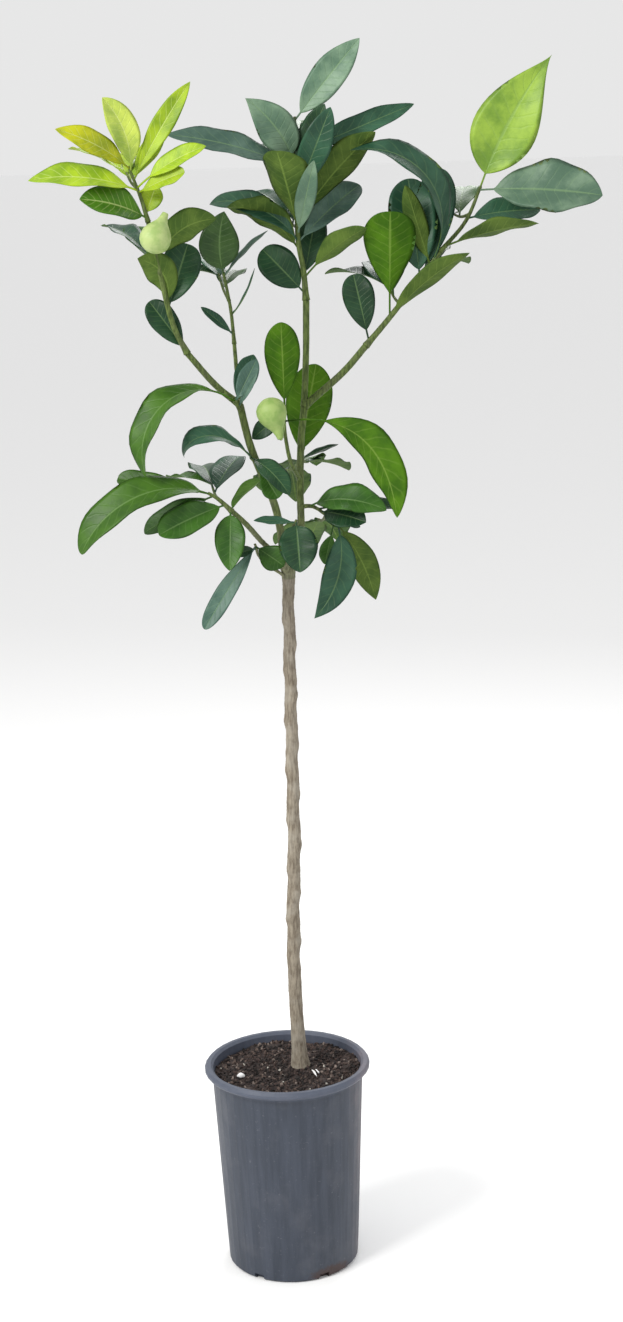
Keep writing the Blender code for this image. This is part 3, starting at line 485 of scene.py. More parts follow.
def clear_start(curve, own_radius, hosts):
    """Cut the start of a limb's curve back, so that the limb stands clear of its hosts."""
    length = np.linalg.norm(np.diff(curve, axis=0), axis=1).sum()
    cut = 0.0
    for share in np.arange(0, START_SEARCH, START_STEP / length):
        place, direction = point_at(curve, share)
        side = unit(np.cross(direction, heading(90, 20)))
        up = np.cross(direction, side)
        ring = np.array([place + own_radius * (math.cos(a) * side + math.sin(a) * up)
                         for a in np.linspace(0, 2 * math.pi, 12)])
        if any(depth_inside(ring, *host) > 0 for host in hosts):
            cut = share + START_STEP / length
    along = np.concatenate([[0.0], np.cumsum(np.linalg.norm(np.diff(curve, axis=0), axis=1))])
    kept = [point for point, far in zip(curve, along / length) if far > cut + own_radius / length]
    return np.array([point_at(curve, cut)[0]] + kept)


def limb_curve(limb, steps=2):
    """A limb's route as a smooth curve."""
    return smooth_route(limb.route, steps)


def free_tube(limb, hosts):
    """The curve and the radii of a limb, from where it stands just clear of what it springs from."""
    curve = clear_start(limb_curve(limb), limb.radius[0], hosts)
    return curve, np.linspace(limb.radius[0], limb.radius[1], len(curve))


def limb_tubes():
    """The tube of the trunk, each bough and each mass's stem, each clear of those before it."""
    heights = np.linspace(SOIL_TOP, HEAD[2], TRUNK_RINGS)
    tubes = {"trunk": (np.array([trunk_centre(z) for z in heights]),
                       np.full(TRUNK_RINGS, TRUNK_HEAD_RADIUS))}
    stems = {name: shoot.stem for name, shoot in SHOOTS.items()}
    for name, limb in {**LIMBS, **stems}.items():
        hosts = [tubes[host] for host in limb.hosts]
        tubes[name] = free_tube(limb, hosts)
    return tubes


def leaf_frames(leaf, base, steps=BEND_STEPS):
    """Places along a leaf's midrib, with the direction, the side and the upper normal at each."""
    forward = heading(leaf.turn, leaf.rise)
    upper = heading(*leaf.faces)
    upper = unit(upper - forward * upper.dot(forward))
    side = np.cross(forward, upper)
    share = np.linspace(0, 1, steps + 1)
    slope = np.radians(leaf.arch) * (0.5 - share)
    slope -= np.radians(leaf.curl) * np.clip((share - CURL_START) / (1 - CURL_START), 0, 1) ** 1.5
    mean_slope = 0.5 * (slope[1:] + slope[:-1])
    run = np.concatenate([[0.0], np.cumsum(np.cos(mean_slope))])
    lift = np.concatenate([[0.0], np.cumsum(np.sin(mean_slope))])
    chord = math.hypot(run[-1], lift[-1])
    along = (run * run[-1] + lift * lift[-1]) / chord ** 2
    above = (lift * run[-1] - run * lift[-1]) / chord ** 2
    long = leaf.long * MM
    bow = 4 * leaf.sway * share * (1 - share)
    places = base + long * (np.outer(along, forward) + np.outer(above, upper) + np.outer(bow, side))
    directions = np.gradient(places, axis=0)
    directions /= np.linalg.norm(directions, axis=1)[:, None]
    normals = np.cross(side, directions)
    normals /= np.linalg.norm(normals, axis=1)[:, None]
    return share, places, np.cross(directions, normals), normals


def half_width(leaf, blade_share):
    """Half the blade's width at a share of the way from the end of its stalk to its tip."""
    near = leaf.belly * leaf.point / (1 - leaf.belly)
    rise = (blade_share / leaf.belly) ** near
    fall = ((1 - blade_share) / (1 - leaf.belly)) ** leaf.point
    return 0.5 * leaf.wide * MM * rise * fall


def leaf_mesh(leaf, base, margin=0.0, first_ring=0):
    """A leaf as a closed blade: rings of left edge, upper rib, right edge and lower rib, and a tip."""
    share, places, sides, normals = leaf_frames(leaf, base)
    rings = [(0.0, STALK_WIDTH / 2, 0.0), (leaf.stalk, STALK_WIDTH / 2, 0.0)]
    places_of_rings = LARGE_RINGS
    if leaf.long < SMALL_LEAF:
        places_of_rings = SMALL_RINGS
    elif leaf.long < MIDDLE_LEAF:
        places_of_rings = MIDDLE_RINGS
    for place in places_of_rings:
        rings.append((leaf.stalk + (1 - leaf.stalk) * place, half_width(leaf, place), 1.0))
    rings = rings[first_ring:]
    fold = math.radians(LEAF_FOLD)
    thick = LEAF_THICKNESS / 2 + margin
    verts = []
    for at, half, folded in rings:
        centre, side, normal = (
            np.array([np.interp(at, share, table[:, k]) for k in range(3)])
            for table in (places, sides, normals))
        out = (half + margin) * (math.cos(fold) if folded else 1.0)
        lift = half * math.sin(fold) * folded
        deep = thick if folded else STALK_WIDTH / 2
        verts += [centre - side * out + normal * lift, centre + normal * deep,
                  centre + side * out + normal * lift, centre - normal * deep]
    faces = [(0, 1, 2, 3)]
    for ring in range(len(rings) - 1):
        low = 4 * ring
        for k in range(4):
            nxt = (k + 1) % 4
            faces.append((low + k, low + 4 + k, low + 4 + nxt, low + nxt))
    tip = len(verts)
    verts.append(places[-1])
    low = tip - 4
    faces += [(low + k, tip, low + (k + 1) % 4) for k in range(4)]
    return verts, faces


def fruit_mesh(fruit, stem_point):
    """A pear-shaped young fruit, with its neck drawn out, and a stalk that runs into the stem."""
    axis = heading(fruit.turn, fruit.rise)
    centre = np.array(fruit.centre)
    wide = fruit.wide * MM / 2
    long = fruit.long * MM
    profile = [(-0.40, 0.45), (-0.30, 0.80), (-0.12, 1.00), (0.08, 0.94), (0.28, 0.60),
               (0.45, 0.28), (0.62, 0.20)]
    curve = np.array([centre + axis * long * along for along, _ in profile])
    body = tube(curve, [wide * share for _, share in profile], 10)
    neck = curve[-1]
    foot = centre - axis * long * 0.2
    near = neck if np.linalg.norm(neck - stem_point) < np.linalg.norm(foot - stem_point) else foot
    stalk = tube(np.array([near, 0.5 * (near + stem_point), stem_point]), [0.0024, 0.0020, 0.0018], 6)
    return body, stalk


def tree_of(mesh_parts):
    """A search tree over several meshes."""
    verts = []
    faces = []
    for part_verts, part_faces in mesh_parts:
        base = len(verts)
        verts += [Vector(v) for v in part_verts]
        faces += [tuple(base + k for k in face) for face in part_faces]
    return BVHTree.FromPolygons(verts, faces)


def seeded_twigs(shoot, curve, rng):
    """Short twigs that branch from the stem towards the back, each with three leaves, by a rule."""
    twigs = []
    for k in range(shoot.twigs):
        base, _ = point_at(curve, 0.3 + 0.6 * (k + 0.5) / shoot.twigs)
        turn = 90 + BACK_FAN * math.sin(math.radians(GOLDEN_ANGLE * (k + rng.random())))
        rise = shoot.twig_rise + rng.uniform(-8, 8)
        reach = rng.uniform(0.035, 0.060)
        middle = base + heading(turn, rise) * reach * 0.5
        route = np.array([base, middle, middle + heading(turn, rise + 15) * reach * 0.5])
        leaves = []
        for step in range(3):
            around = turn + (step - 1) * rng.uniform(15, 32)
            up = shoot.twig_rise + rng.uniform(-15, 20)
            leaves.append(Leaf(0.55 + 0.2 * step, around, up, rng.uniform(75, 105),
                               rng.uniform(34, 44), (around, 89), arch=rng.uniform(20, 45)))
        twigs.append((route, leaves))
    return twigs


def trunk_centre(height):
    """The trunk's centre line: it leans and bows a little, and steps from knob to knob."""
    share = (height - SOIL_TOP) / (HEAD[2] - SOIL_TOP)
    bow = -0.004 * math.sin(math.pi * min(share / 0.45, 1.0))
    step = 0.0006 * math.sin(math.pi * (height - FIRST_KNOB) / KNOB_SPACING) if share > 0.2 else 0.0
    x = TRUNK_FOOT[0] + (HEAD[0] - TRUNK_FOOT[0]) * share ** 1.5 + bow + step
    y = TRUNK_FOOT[1] + (HEAD[1] - TRUNK_FOOT[1]) * share
    return np.array([x, y, height])


def trunk_radius(height, angle):
    """The trunk's radius: taper, root flare, a swollen head, and knobs on alternate sides."""
    share = (height - SOIL_TOP) / (HEAD[2] - SOIL_TOP)
    radius = TRUNK_RADIUS_LOW + (TRUNK_RADIUS_HIGH - TRUNK_RADIUS_LOW) * share
    flare = (TRUNK_FLARE_RADIUS - TRUNK_RADIUS_LOW) * math.exp(-(height - SOIL_TOP) / FLARE_HEIGHT)
    head = (TRUNK_HEAD_RADIUS - TRUNK_RADIUS_HIGH) * math.exp(-(HEAD[2] - height) / 0.014)
    knobs = 0.0
    for k in range(KNOB_COUNT):
        facing = 180 * (k % 2) + 35 * math.sin(2.4 * k)
        towards = max(0.0, math.cos(angle - math.radians(facing)))
        far = (height - FIRST_KNOB - k * KNOB_SPACING) / KNOB_LENGTH
        knobs += KNOB_SIZE * math.exp(-far * far) * towards ** 2
    return radius + flare + head + knobs


def linear(colour):
    """Linear values from sRGB values from 0 to 255."""
    shares = [c / 255 for c in colour]
    return tuple(c / 12.92 if c <= 0.04045 else ((c + 0.055) / 1.055) ** 2.4 for c in shares)


def plan_leaves():
    """The stems and twigs as tubes, and each mass's leaves as (leaf, base, tint) rows."""
    rng = random.Random(LEAF_SEED)
    tubes = limb_tubes()
    trunk = tube(*tubes["trunk"], BOUGH_SIDES)
    limb_meshes = [tube(*tubes[name], BOUGH_SIDES) for name in LIMBS] + [trunk]
    leaves = {}
    meshes = {}
    for name, shoot in SHOOTS.items():
        curve, radii = tubes[name]
        leaves[name] = [(leaf, point_at(curve, leaf.at)[0], tint)
                        for leaf, tint in zip(shoot.leaves, SPRAY_TINTS[name])]
        meshes[name] = [tube(curve, radii, STEM_SIDES)]
        meshes[name] += [leaf_mesh(leaf, base) for leaf, base, _ in leaves[name]]
        for fruit in shoot.fruit:
            meshes[name] += fruit_mesh(fruit, point_at(curve, 0.8)[0])
    twigs = []
    for name, shoot in SHOOTS.items():
        others = [mesh for other, parts in meshes.items() if other != name for mesh in parts]
        taken = tree_of(others + limb_meshes)
        own_leaves = tree_of(meshes[name][1:])
        for route, twig_leaves in seeded_twigs(shoot, tubes[name][0], rng):
            twig = tube(route, [0.0018, 0.0015, 0.0012], 5)
            if tree_of([twig]).overlap(taken):
                continue
            meshes[name].append(twig)
            twigs.append(route)
            for leaf in twig_leaves:
                base = point_at(route, leaf.at)[0]
                test = tree_of([leaf_mesh(leaf, base, TEST_MARGIN)])
                blade = tree_of([leaf_mesh(leaf, base, TEST_MARGIN, first_ring=3)])
                if test.overlap(taken) or blade.overlap(own_leaves):
                    continue
                meshes[name].append(leaf_mesh(leaf, base))
                tint = "lime" if name == YOUNG_SHOOT else SEEDED_TINTS[len(meshes[name]) % 3]
                leaves[name].append((leaf, base, tint))
    return twigs, leaves


def piece_from(name, verts, faces):
    """A visible, smooth-shaded mesh object, linked to the scene."""
    mesh = bpy.data.meshes.new(name)
    mesh.from_pydata([tuple(v) for v in verts], [], faces)
    mesh.shade_smooth()
    made = bpy.data.objects.new(name, mesh)
    bpy.context.scene.collection.objects.link(made)
    return made


def baked(made):
    """Replace an object's mesh with what its modifiers make of it, and drop the modifiers."""
    bpy.context.view_layer.update()
    graph = bpy.context.evaluated_depsgraph_get()
    shaped = bpy.data.meshes.new_from_object(made.evaluated_get(graph))
    made.modifiers.clear()
    made.data = shaped
    return made


# Shaders

def new_group(name, inputs, outputs):
    """A shader node group with named sockets, and its input and output nodes."""
    group = bpy.data.node_groups.new(name, "ShaderNodeTree")
    for label, kind in inputs:
        group.interface.new_socket(name=label, in_out="INPUT", socket_type=kind)
    for label, kind in outputs:
        group.interface.new_socket(name=label, in_out="OUTPUT", socket_type=kind)
    return group, group.nodes.new("NodeGroupInput"), group.nodes.new("NodeGroupOutput")


def add(tree, kind, values=(), **settings):
    """A node with its settings, and the values or links of its first inputs."""
    node = tree.nodes.new(kind)
    for key, value in settings.items():
        setattr(node, key, value)
    for socket, value in dict(values).items():
        if isinstance(value, bpy.types.NodeSocket):
            tree.links.new(value, node.inputs[socket])
        else:
            node.inputs[socket].default_value = value
    return node


def math_node(tree, operation, *values):
    """The result of a Math node on these values or links."""
    return add(tree, "ShaderNodeMath", dict(enumerate(values)), operation=operation).outputs[0]


def smooth_mask(tree, value, low, high):
    """A mask that runs from 0 at low to 1 at high, eased at both ends."""
    node = add(tree, "ShaderNodeMapRange", {0: value, 1: low, 2: high},
               interpolation_type="SMOOTHSTEP")
    return node.outputs[0]


def mixed(tree, share, first, second, blend="MIX"):
    """Two colours mixed by a share."""
    node = add(tree, "ShaderNodeMix", {0: share, 6: first, 7: second},
               data_type="RGBA", blend_type=blend)
    return node.outputs[2]


def tone_of(*colour):
    """A socket's colour from sRGB values from 0 to 255."""
    return (*linear(colour), 1)


def noise_of(tree, vector, scale, detail=4.0, roughness=0.55):
    """A noise value at a place, from 0 to 1."""
    node = add(tree, "ShaderNodeTexNoise",
               {"Vector": vector, "Scale": scale, "Detail": detail, "Roughness": roughness})
    return node.outputs["Fac"]


def leaf_pattern_group():
    """Midrib, side veins and mottling of a blade, from its own UV map: masks and a height."""
    group, given, made = new_group(
        "Leaf pattern", [("UV", "NodeSocketVector"), ("Place", "NodeSocketVector")],
        [("Midrib", "NodeSocketFloat"), ("Veins", "NodeSocketFloat"), ("Mottle", "NodeSocketFloat"),
         ("Height", "NodeSocketFloat")])
    split = add(group, "ShaderNodeSeparateXYZ", {0: given.outputs["UV"]})
    signed = math_node(group, "MULTIPLY_ADD", split.outputs[0], 2.0, -1.0)
    across = math_node(group, "ABSOLUTE", signed)
    along = split.outputs[1]
    wobble = noise_of(group, given.outputs["Place"], 45.0, 2.0)
    midrib = math_node(group, "SUBTRACT", 1.0, smooth_mask(group, across, 0.015, 0.07))
    lead = math_node(group, "MULTIPLY", across, 1.5)
    phase = math_node(group, "SUBTRACT", math_node(group, "MULTIPLY", along, 10.0), lead)
    phase = math_node(group, "ADD", phase, math_node(group, "MULTIPLY", wobble, 0.7))
    line = math_node(group, "PINGPONG", phase, 0.5)
    veins = math_node(group, "SUBTRACT", 1.0, smooth_mask(group, line, 0.02, 0.12))
    inner = math_node(group, "SUBTRACT", 1.0, smooth_mask(group, across, 0.55, 1.0))
    veins = math_node(group, "MULTIPLY", veins, inner)
    mottle = noise_of(group, given.outputs["Place"], 28.0, 5.0, 0.6)
    fine = noise_of(group, given.outputs["Place"], 320.0, 3.0, 0.6)
    height = math_node(group, "MULTIPLY_ADD", veins, -0.35, math_node(group, "MULTIPLY", fine, 0.25))
    height = math_node(group, "ADD", height, math_node(group, "MULTIPLY", mottle, 0.35))
    height = math_node(group, "SUBTRACT", height, math_node(group, "MULTIPLY", midrib, 0.5))
    for label, value in (("Midrib", midrib), ("Veins", veins), ("Mottle", mottle), ("Height", height)):
        group.links.new(value, made.inputs[label])
    return group


def surface(name, build, bump_size, **constants):
    """A Principled material from a builder of its colour, its height and perhaps its roughness."""
    made = bpy.data.materials.new(name)
    made.use_nodes = True
    tree = made.node_tree
    shader = tree.nodes["Principled BSDF"]
    for socket, value in constants.items():
        shader.inputs[socket.replace("_", " ")].default_value = value
    parts = build(tree)
    tree.links.new(parts["colour"], shader.inputs["Base Color"])
    if "rough" in parts:
        tree.links.new(parts["rough"], shader.inputs["Roughness"])
    bump = add(tree, "ShaderNodeBump",
               {"Strength": 1.0, "Distance": bump_size, "Height": parts["height"]})
    tree.links.new(bump.outputs[0], shader.inputs["Normal"])
    return made


def leaf_material(name, group, vein_light, vein_share, roughness, bump_size, **constants):
    """One side of a leaf: its tint, mottled, with paler veins and midrib."""
    def build(tree):
        uv = add(tree, "ShaderNodeUVMap", uv_map="blade")
        place = add(tree, "ShaderNodeTexCoord")
        tint = add(tree, "ShaderNodeAttribute", attribute_name="tint")
        pattern = add(tree, "ShaderNodeGroup", node_tree=group)
        tree.links.new(uv.outputs[0], pattern.inputs["UV"])
        tree.links.new(place.outputs["Object"], pattern.inputs["Place"])
        dark = mixed(tree, 1.0, tint.outputs["Color"], (0.62, 0.70, 0.62, 1), "MULTIPLY")
        light = mixed(tree, 1.0, tint.outputs["Color"], (1.25, 1.18, 1.05, 1), "MULTIPLY")
        tone = mixed(tree, smooth_mask(tree, pattern.outputs["Mottle"], 0.36, 0.64), dark, light)
        pale = mixed(tree, 0.55, tint.outputs["Color"], tone_of(*vein_light))
        for part, share in (("Veins", vein_share), ("Midrib", 0.6)):
            tone = mixed(tree, math_node(tree, "MULTIPLY", pattern.outputs[part], share), tone, pale)
        rough = math_node(tree, "MULTIPLY_ADD", pattern.outputs["Mottle"], 0.25, roughness - 0.12)
        return {"colour": tone, "rough": rough, "height": pattern.outputs["Height"]}
    return surface(name, build, bump_size, **constants)


def wood_material():
    """Grey-brown bark on the trunk that turns to green bark up the boughs."""
    def build(tree):
        place = add(tree, "ShaderNodeTexCoord").outputs["Object"]
        age = add(tree, "ShaderNodeAttribute", attribute_name="green")
        stretched = add(tree, "ShaderNodeMapping",
                        {"Vector": place, "Scale": (1.0, 1.0, 0.16)}).outputs[0]
        streak = noise_of(tree, stretched, 420.0, 6.0, 0.65)
        patch = noise_of(tree, place, 38.0, 4.0, 0.6)
        bark = mixed(tree, smooth_mask(tree, streak, 0.34, 0.66), tone_of(104, 94, 81),
                     tone_of(147, 138, 123))
        bark = mixed(tree, math_node(tree, "MULTIPLY", smooth_mask(tree, patch, 0.45, 0.65), 0.5), bark,
                     tone_of(162, 156, 144))
        young = mixed(tree, smooth_mask(tree, streak, 0.36, 0.64), tone_of(58, 72, 32),
                      tone_of(96, 112, 58))
        young = mixed(tree, math_node(tree, "MULTIPLY", smooth_mask(tree, patch, 0.5, 0.7), 0.35), young,
                      tone_of(98, 98, 78))
        tone = mixed(tree, age.outputs["Fac"], bark, young)
        height = math_node(tree, "ADD", streak, math_node(tree, "MULTIPLY", patch, 0.5))
        rough = math_node(tree, "MULTIPLY_ADD", age.outputs["Fac"], -0.3, 0.85)
        return {"colour": tone, "rough": rough, "height": height}
    return surface("bark", build, 0.0007, Specular_IOR_Level=0.2)


def soil_material():
    """Dark damp soil under the crumbs."""
    def build(tree):
        place = add(tree, "ShaderNodeTexCoord").outputs["Object"]
        grain = noise_of(tree, place, 260.0, 8.0, 0.7)
        patch = noise_of(tree, place, 34.0, 4.0, 0.6)
        tone = mixed(tree, smooth_mask(tree, grain, 0.35, 0.68), tone_of(24, 18, 17),
                     tone_of(66, 53, 48))
        tone = mixed(tree, math_node(tree, "MULTIPLY", smooth_mask(tree, patch, 0.5, 0.72), 0.45), tone,
                     tone_of(74, 60, 56))
        return {"colour": tone, "height": grain}
    return surface("soil", build, 0.002, Roughness=0.92)


def crumb_material():
    """Bark and peat crumbs: mostly dark, some brown, a few pale grains of grit."""
    def build(tree):
        place = add(tree, "ShaderNodeTexCoord").outputs["Object"]
        each = add(tree, "ShaderNodeAttribute", attribute_name="each")
        grain = noise_of(tree, place, 700.0, 5.0, 0.65)
        ramp = add(tree, "ShaderNodeValToRGB", {0: each.outputs["Fac"]})
        stops = ramp.color_ramp
        stops.interpolation = "CONSTANT"
        tones = ((0.0, (26, 20, 19)), (0.3, (44, 34, 32)), (0.6, (68, 54, 50)), (0.82, (92, 78, 72)),
                 (0.94, (128, 116, 110)), (0.99, (206, 204, 196)))
        stops.elements[0].color = tone_of(*tones[0][1])
        stops.elements[1].position = tones[1][0]
        stops.elements[1].color = tone_of(*tones[1][1])
        for position, tone in tones[2:]:
            stops.elements.new(position).color = tone_of(*tone)
        shade = mixed(tree, smooth_mask(tree, grain, 0.3, 0.7), (0.6, 0.58, 0.56, 1), (1.2, 1.18, 1.15, 1))
        tone = mixed(tree, 1.0, ramp.outputs[0], shade, "MULTIPLY")
        return {"colour": tone, "height": grain}
    return surface("crumbs", build, 0.0006, Roughness=0.9)


def pot_material():
    """Blue-grey moulded plastic: faint run marks, a paler blue band along the top of the lip, a painted
    pinkish rim light down the right side, soil at one notch.
    """
    def build(tree):
        place = add(tree, "ShaderNodeTexCoord").outputs["Object"]
        split = add(tree, "ShaderNodeSeparateXYZ", {0: place})
        flat = add(tree, "ShaderNodeMapping", {"Vector": place, "Scale": (1.0, 1.0, 0.10)}).outputs[0]
        runs = noise_of(tree, flat, 110.0, 6.0, 0.62)
        cloud = noise_of(tree, place, 18.0, 5.0, 0.62)
        scuff = noise_of(tree, place, 240.0, 4.0, 0.7)
        tone = mixed(tree, smooth_mask(tree, runs, 0.30, 0.72), tone_of(50, 56, 67),
                     tone_of(62, 68, 80))
        tone = mixed(tree, math_node(tree, "MULTIPLY", smooth_mask(tree, cloud, 0.48, 0.72), 0.35), tone,
                     tone_of(88, 90, 97))
        tone = mixed(tree, math_node(tree, "MULTIPLY", smooth_mask(tree, scuff, 0.60, 0.72), 0.30), tone,
                     tone_of(118, 120, 126))
        # A paler blue band along the top of the lip.
        lip = math_node(tree, "MULTIPLY", smooth_mask(tree, split.outputs[2], 0.236, 0.242), 0.45)
        tone = mixed(tree, lip, tone, tone_of(98, 104, 120))
        # Painted rim light: a pale pinkish tone down the right side of the pot, broken up by the cloud
        # noise, stands in for light that grazes that edge.
        side = math_node(tree, "MULTIPLY", smooth_mask(tree, split.outputs[0], 0.066, 0.094), 0.40)
        tone = mixed(tree, math_node(tree, "MULTIPLY", side, smooth_mask(tree, cloud, 0.30, 0.60)), tone,
                     tone_of(140, 124, 126))
        offset = add(tree, "ShaderNodeVectorMath", {0: place, 1: STAIN_PLACE}, operation="SUBTRACT")
        spread = add(tree, "ShaderNodeVectorMath", {0: offset.outputs[0], 1: STAIN_SPREAD},
                     operation="DIVIDE")
        far = add(tree, "ShaderNodeVectorMath", {0: spread.outputs[0]}, operation="LENGTH")
        rim = math_node(tree, "MULTIPLY", scuff, 0.9)
        ragged = math_node(tree, "ADD", far.outputs["Value"], rim)
        stain = math_node(tree, "SUBTRACT", 1.0, smooth_mask(tree, ragged, 1.0, 1.5))
        tone = mixed(tree, math_node(tree, "MULTIPLY", stain, 0.85), tone, tone_of(66, 50, 46))
        rough = math_node(tree, "MULTIPLY_ADD", scuff, 0.2, 0.42)
        height = math_node(tree, "MULTIPLY_ADD", scuff, 0.3, math_node(tree, "MULTIPLY", runs, 0.6))
        return {"colour": tone, "rough": rough, "height": height}
    return surface("pot_plastic", build, 0.0003, Specular_IOR_Level=0.35)


def fruit_material():
    """A pale green rind with darker patches and fine pores."""
    def build(tree):
        place = add(tree, "ShaderNodeTexCoord").outputs["Object"]
        tint = add(tree, "ShaderNodeAttribute", attribute_name="tint")
        patch = noise_of(tree, place, 90.0, 4.0, 0.6)
        pores = noise_of(tree, place, 900.0, 2.0, 0.5)
        dark = mixed(tree, 1.0, tint.outputs["Color"], (0.72, 0.82, 0.66, 1), "MULTIPLY")
        tone = mixed(tree, smooth_mask(tree, patch, 0.35, 0.62), dark, tint.outputs["Color"])
        return {"colour": tone, "height": pores}
    return surface("young_fruit", build, 0.0002, Roughness=0.5, Specular_IOR_Level=0.3)


# Settings

class WoodSettings(bpy.types.PropertyGroup):
    bark_depth: bpy.props.FloatProperty(
        name="Bark depth", description="Depth of the bark's relief on the trunk", default=0.0006,
        min=0.0, unit="LENGTH")
    grain: bpy.props.FloatProperty(
        name="Grain", description="Bark furrows to a metre, around the trunk", default=420.0, min=1.0)


class LeafSettings(bpy.types.PropertyGroup):
    rows: bpy.props.IntProperty(
        name="Rows", description="Rows of faces along a blade", default=26, min=8)
    columns: bpy.props.IntProperty(
        name="Columns", description="Columns of faces across a blade", default=12, min=4)
    thickness: bpy.props.FloatProperty(
        name="Thickness", description="Thickness of a blade", default=0.0006, min=0.0001,
        unit="LENGTH")
    wave: bpy.props.FloatProperty(
        name="Wave", description="Height of the waves at the margin, as a share of the half width",
        default=0.09, min=0.0)


class SoilSettings(bpy.types.PropertyGroup):
    density: bpy.props.FloatProperty(
        name="Density", description="Crumbs to a square metre", default=70000.0, min=0.0)
    crumb: bpy.props.FloatProperty(
        name="Crumb", description="Mean size of a crumb", default=0.0040, min=0.0, unit="LENGTH")
    seed: bpy.props.IntProperty(name="Seed", description="Seed of the crumbs", default=4)


class StageSettings(bpy.types.PropertyGroup):
    key_power: bpy.props.FloatProperty(
        name="Key light", description="Power of the key light", default=82.0, min=0.0,
        unit="POWER")
    sky: bpy.props.FloatProperty(
        name="Sky", description="Strength of the plain sky", default=0.80, min=0.0)


# Pieces

def ring_faces(rows, columns):
    """The sides and the two ends of a tube whose rings have this many vertices each."""
    faces = [tuple(range(columns))[::-1], tuple(range((rows - 1) * columns, rows * columns))]
    for row in range(rows - 1):
        low = row * columns
        for k in range(columns):
            nxt = (k + 1) % columns
            faces.append((low + k, low + nxt, low + columns + nxt, low + columns + k))
    return faces


def trunk_surface():
    """The trunk as a fine tube with its flare, its knobs and its swollen head."""
    verts = []
    rows = int((HEAD[2] - SOIL_TOP) / WOOD_STEP)
    for height in np.linspace(SOIL_TOP, HEAD[2] + 0.002, rows):
        centre = trunk_centre(height)
        for angle in np.linspace(0, 2 * math.pi, TRUNK_COLUMNS, endpoint=False):
            radius = trunk_radius(height, angle)
            verts.append(centre + radius * np.array([math.cos(angle), math.sin(angle), 0]))
    return verts, ring_faces(rows, TRUNK_COLUMNS)


def joined(meshes):
    """Several meshes' vertices and faces as one."""
    verts = []
    faces = []
    for part_verts, part_faces in meshes:
        base = len(verts)
        verts += list(part_verts)
        faces += [tuple(base + k for k in face) for face in part_faces]
    return verts, faces


def fine_tube(route, radii, sides=BOUGH_COLUMNS, collar=0.0):
    """A smooth tube through a route, in even short steps, with a swelling where it leaves its host."""
    curve = smooth_route(route, 8)
    spans = np.linalg.norm(np.diff(curve, axis=0), axis=1)
    along = np.concatenate([[0.0], np.cumsum(spans)])
    count = max(6, int(along[-1] / WOOD_STEP))
    at = np.linspace(0, along[-1], count)
    even = np.array([[np.interp(place, along, curve[:, k]) for k in range(3)] for place in at])
    radius = np.interp(at / along[-1], np.linspace(0, 1, len(radii)), radii)
    radius = radius * (1 + collar * np.exp(-at / COLLAR_LENGTH))
    return tube(even, radius, sides)


def bark_height(place, grain):
    """Relief of the bark at a place: long shallow furrows with finer grain on them."""
    stretched = Vector((place.x, place.y, place.z * BARK_STRETCH))
    return noise.noise(stretched * grain) + 0.5 * noise.noise(place * grain * 2)


def wood_piece(name, parts, settings, material):
    """A piece of wood from its tubes, with the bark's relief and its share of green for each vertex."""
    piece = piece_from(name, *joined(parts))
    mesh = piece.data
    green = mesh.attributes.new("green", "FLOAT", "POINT")
    shades = []
    normals = [vert.normal.copy() for vert in mesh.vertices]
    for vert, normal in zip(mesh.vertices, normals):
        above = min(max((vert.co.z - HEAD[2] + GREEN_START) / GREEN_RISE, 0.0), 1.0)
        shades.append(0.0 if above == 0 else 0.5 + 0.5 * above)
        depth = settings.bark_depth * (1 - GREEN_SMOOTHNESS * above)
        vert.co += normal * depth * bark_height(vert.co, settings.grain)
    green.data.foreach_set("value", shades)
    mesh.materials.append(material)
    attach(piece, "root")
    return piece


class PLANT_OT_wood(bpy.types.Operator):
    """Build the trunk and boughs, and the stems and twigs, with bark relief"""
    bl_idname = "plant.wood"
    bl_label = "Wood"

    def execute(self, context):
        settings = context.scene.plant_wood
        material = wood_material()
        boughs = [fine_tube(limb.route, limb.radius, collar=COLLAR_SWELL) for limb in LIMBS.values()]
        stub = fine_tube(STUB_ROUTE, STUB_RADII)
        wood = wood_piece("wood", [trunk_surface(), stub, *boughs], settings, material)
        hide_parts("trunk", *LIMBS)
        stems = [fine_tube(shoot.stem.route, shoot.stem.radius, collar=COLLAR_SWELL)
                 for shoot in SHOOTS.values()]
        stems += [fine_tube(route, TWIG_RADII, TWIG_COLUMNS, COLLAR_SWELL)
                  for route in plan_leaves()[0]]
        twigs = wood_piece("twigs", stems, settings, material)
        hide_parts(*SHOOTS)
        return {"FINISHED"}


def blade_shares(leaf, rows):
    """Shares of a leaf's length where its rows lie: a few on the stalk, then closer at both ends."""
    eased = [0.5 - 0.5 * math.cos(math.pi * k / rows) for k in range(rows + 1)]
    blade = [leaf.stalk + (1 - leaf.stalk) * share for share in eased]
    return [0.0, leaf.stalk * 0.5, leaf.stalk * 0.9] + blade


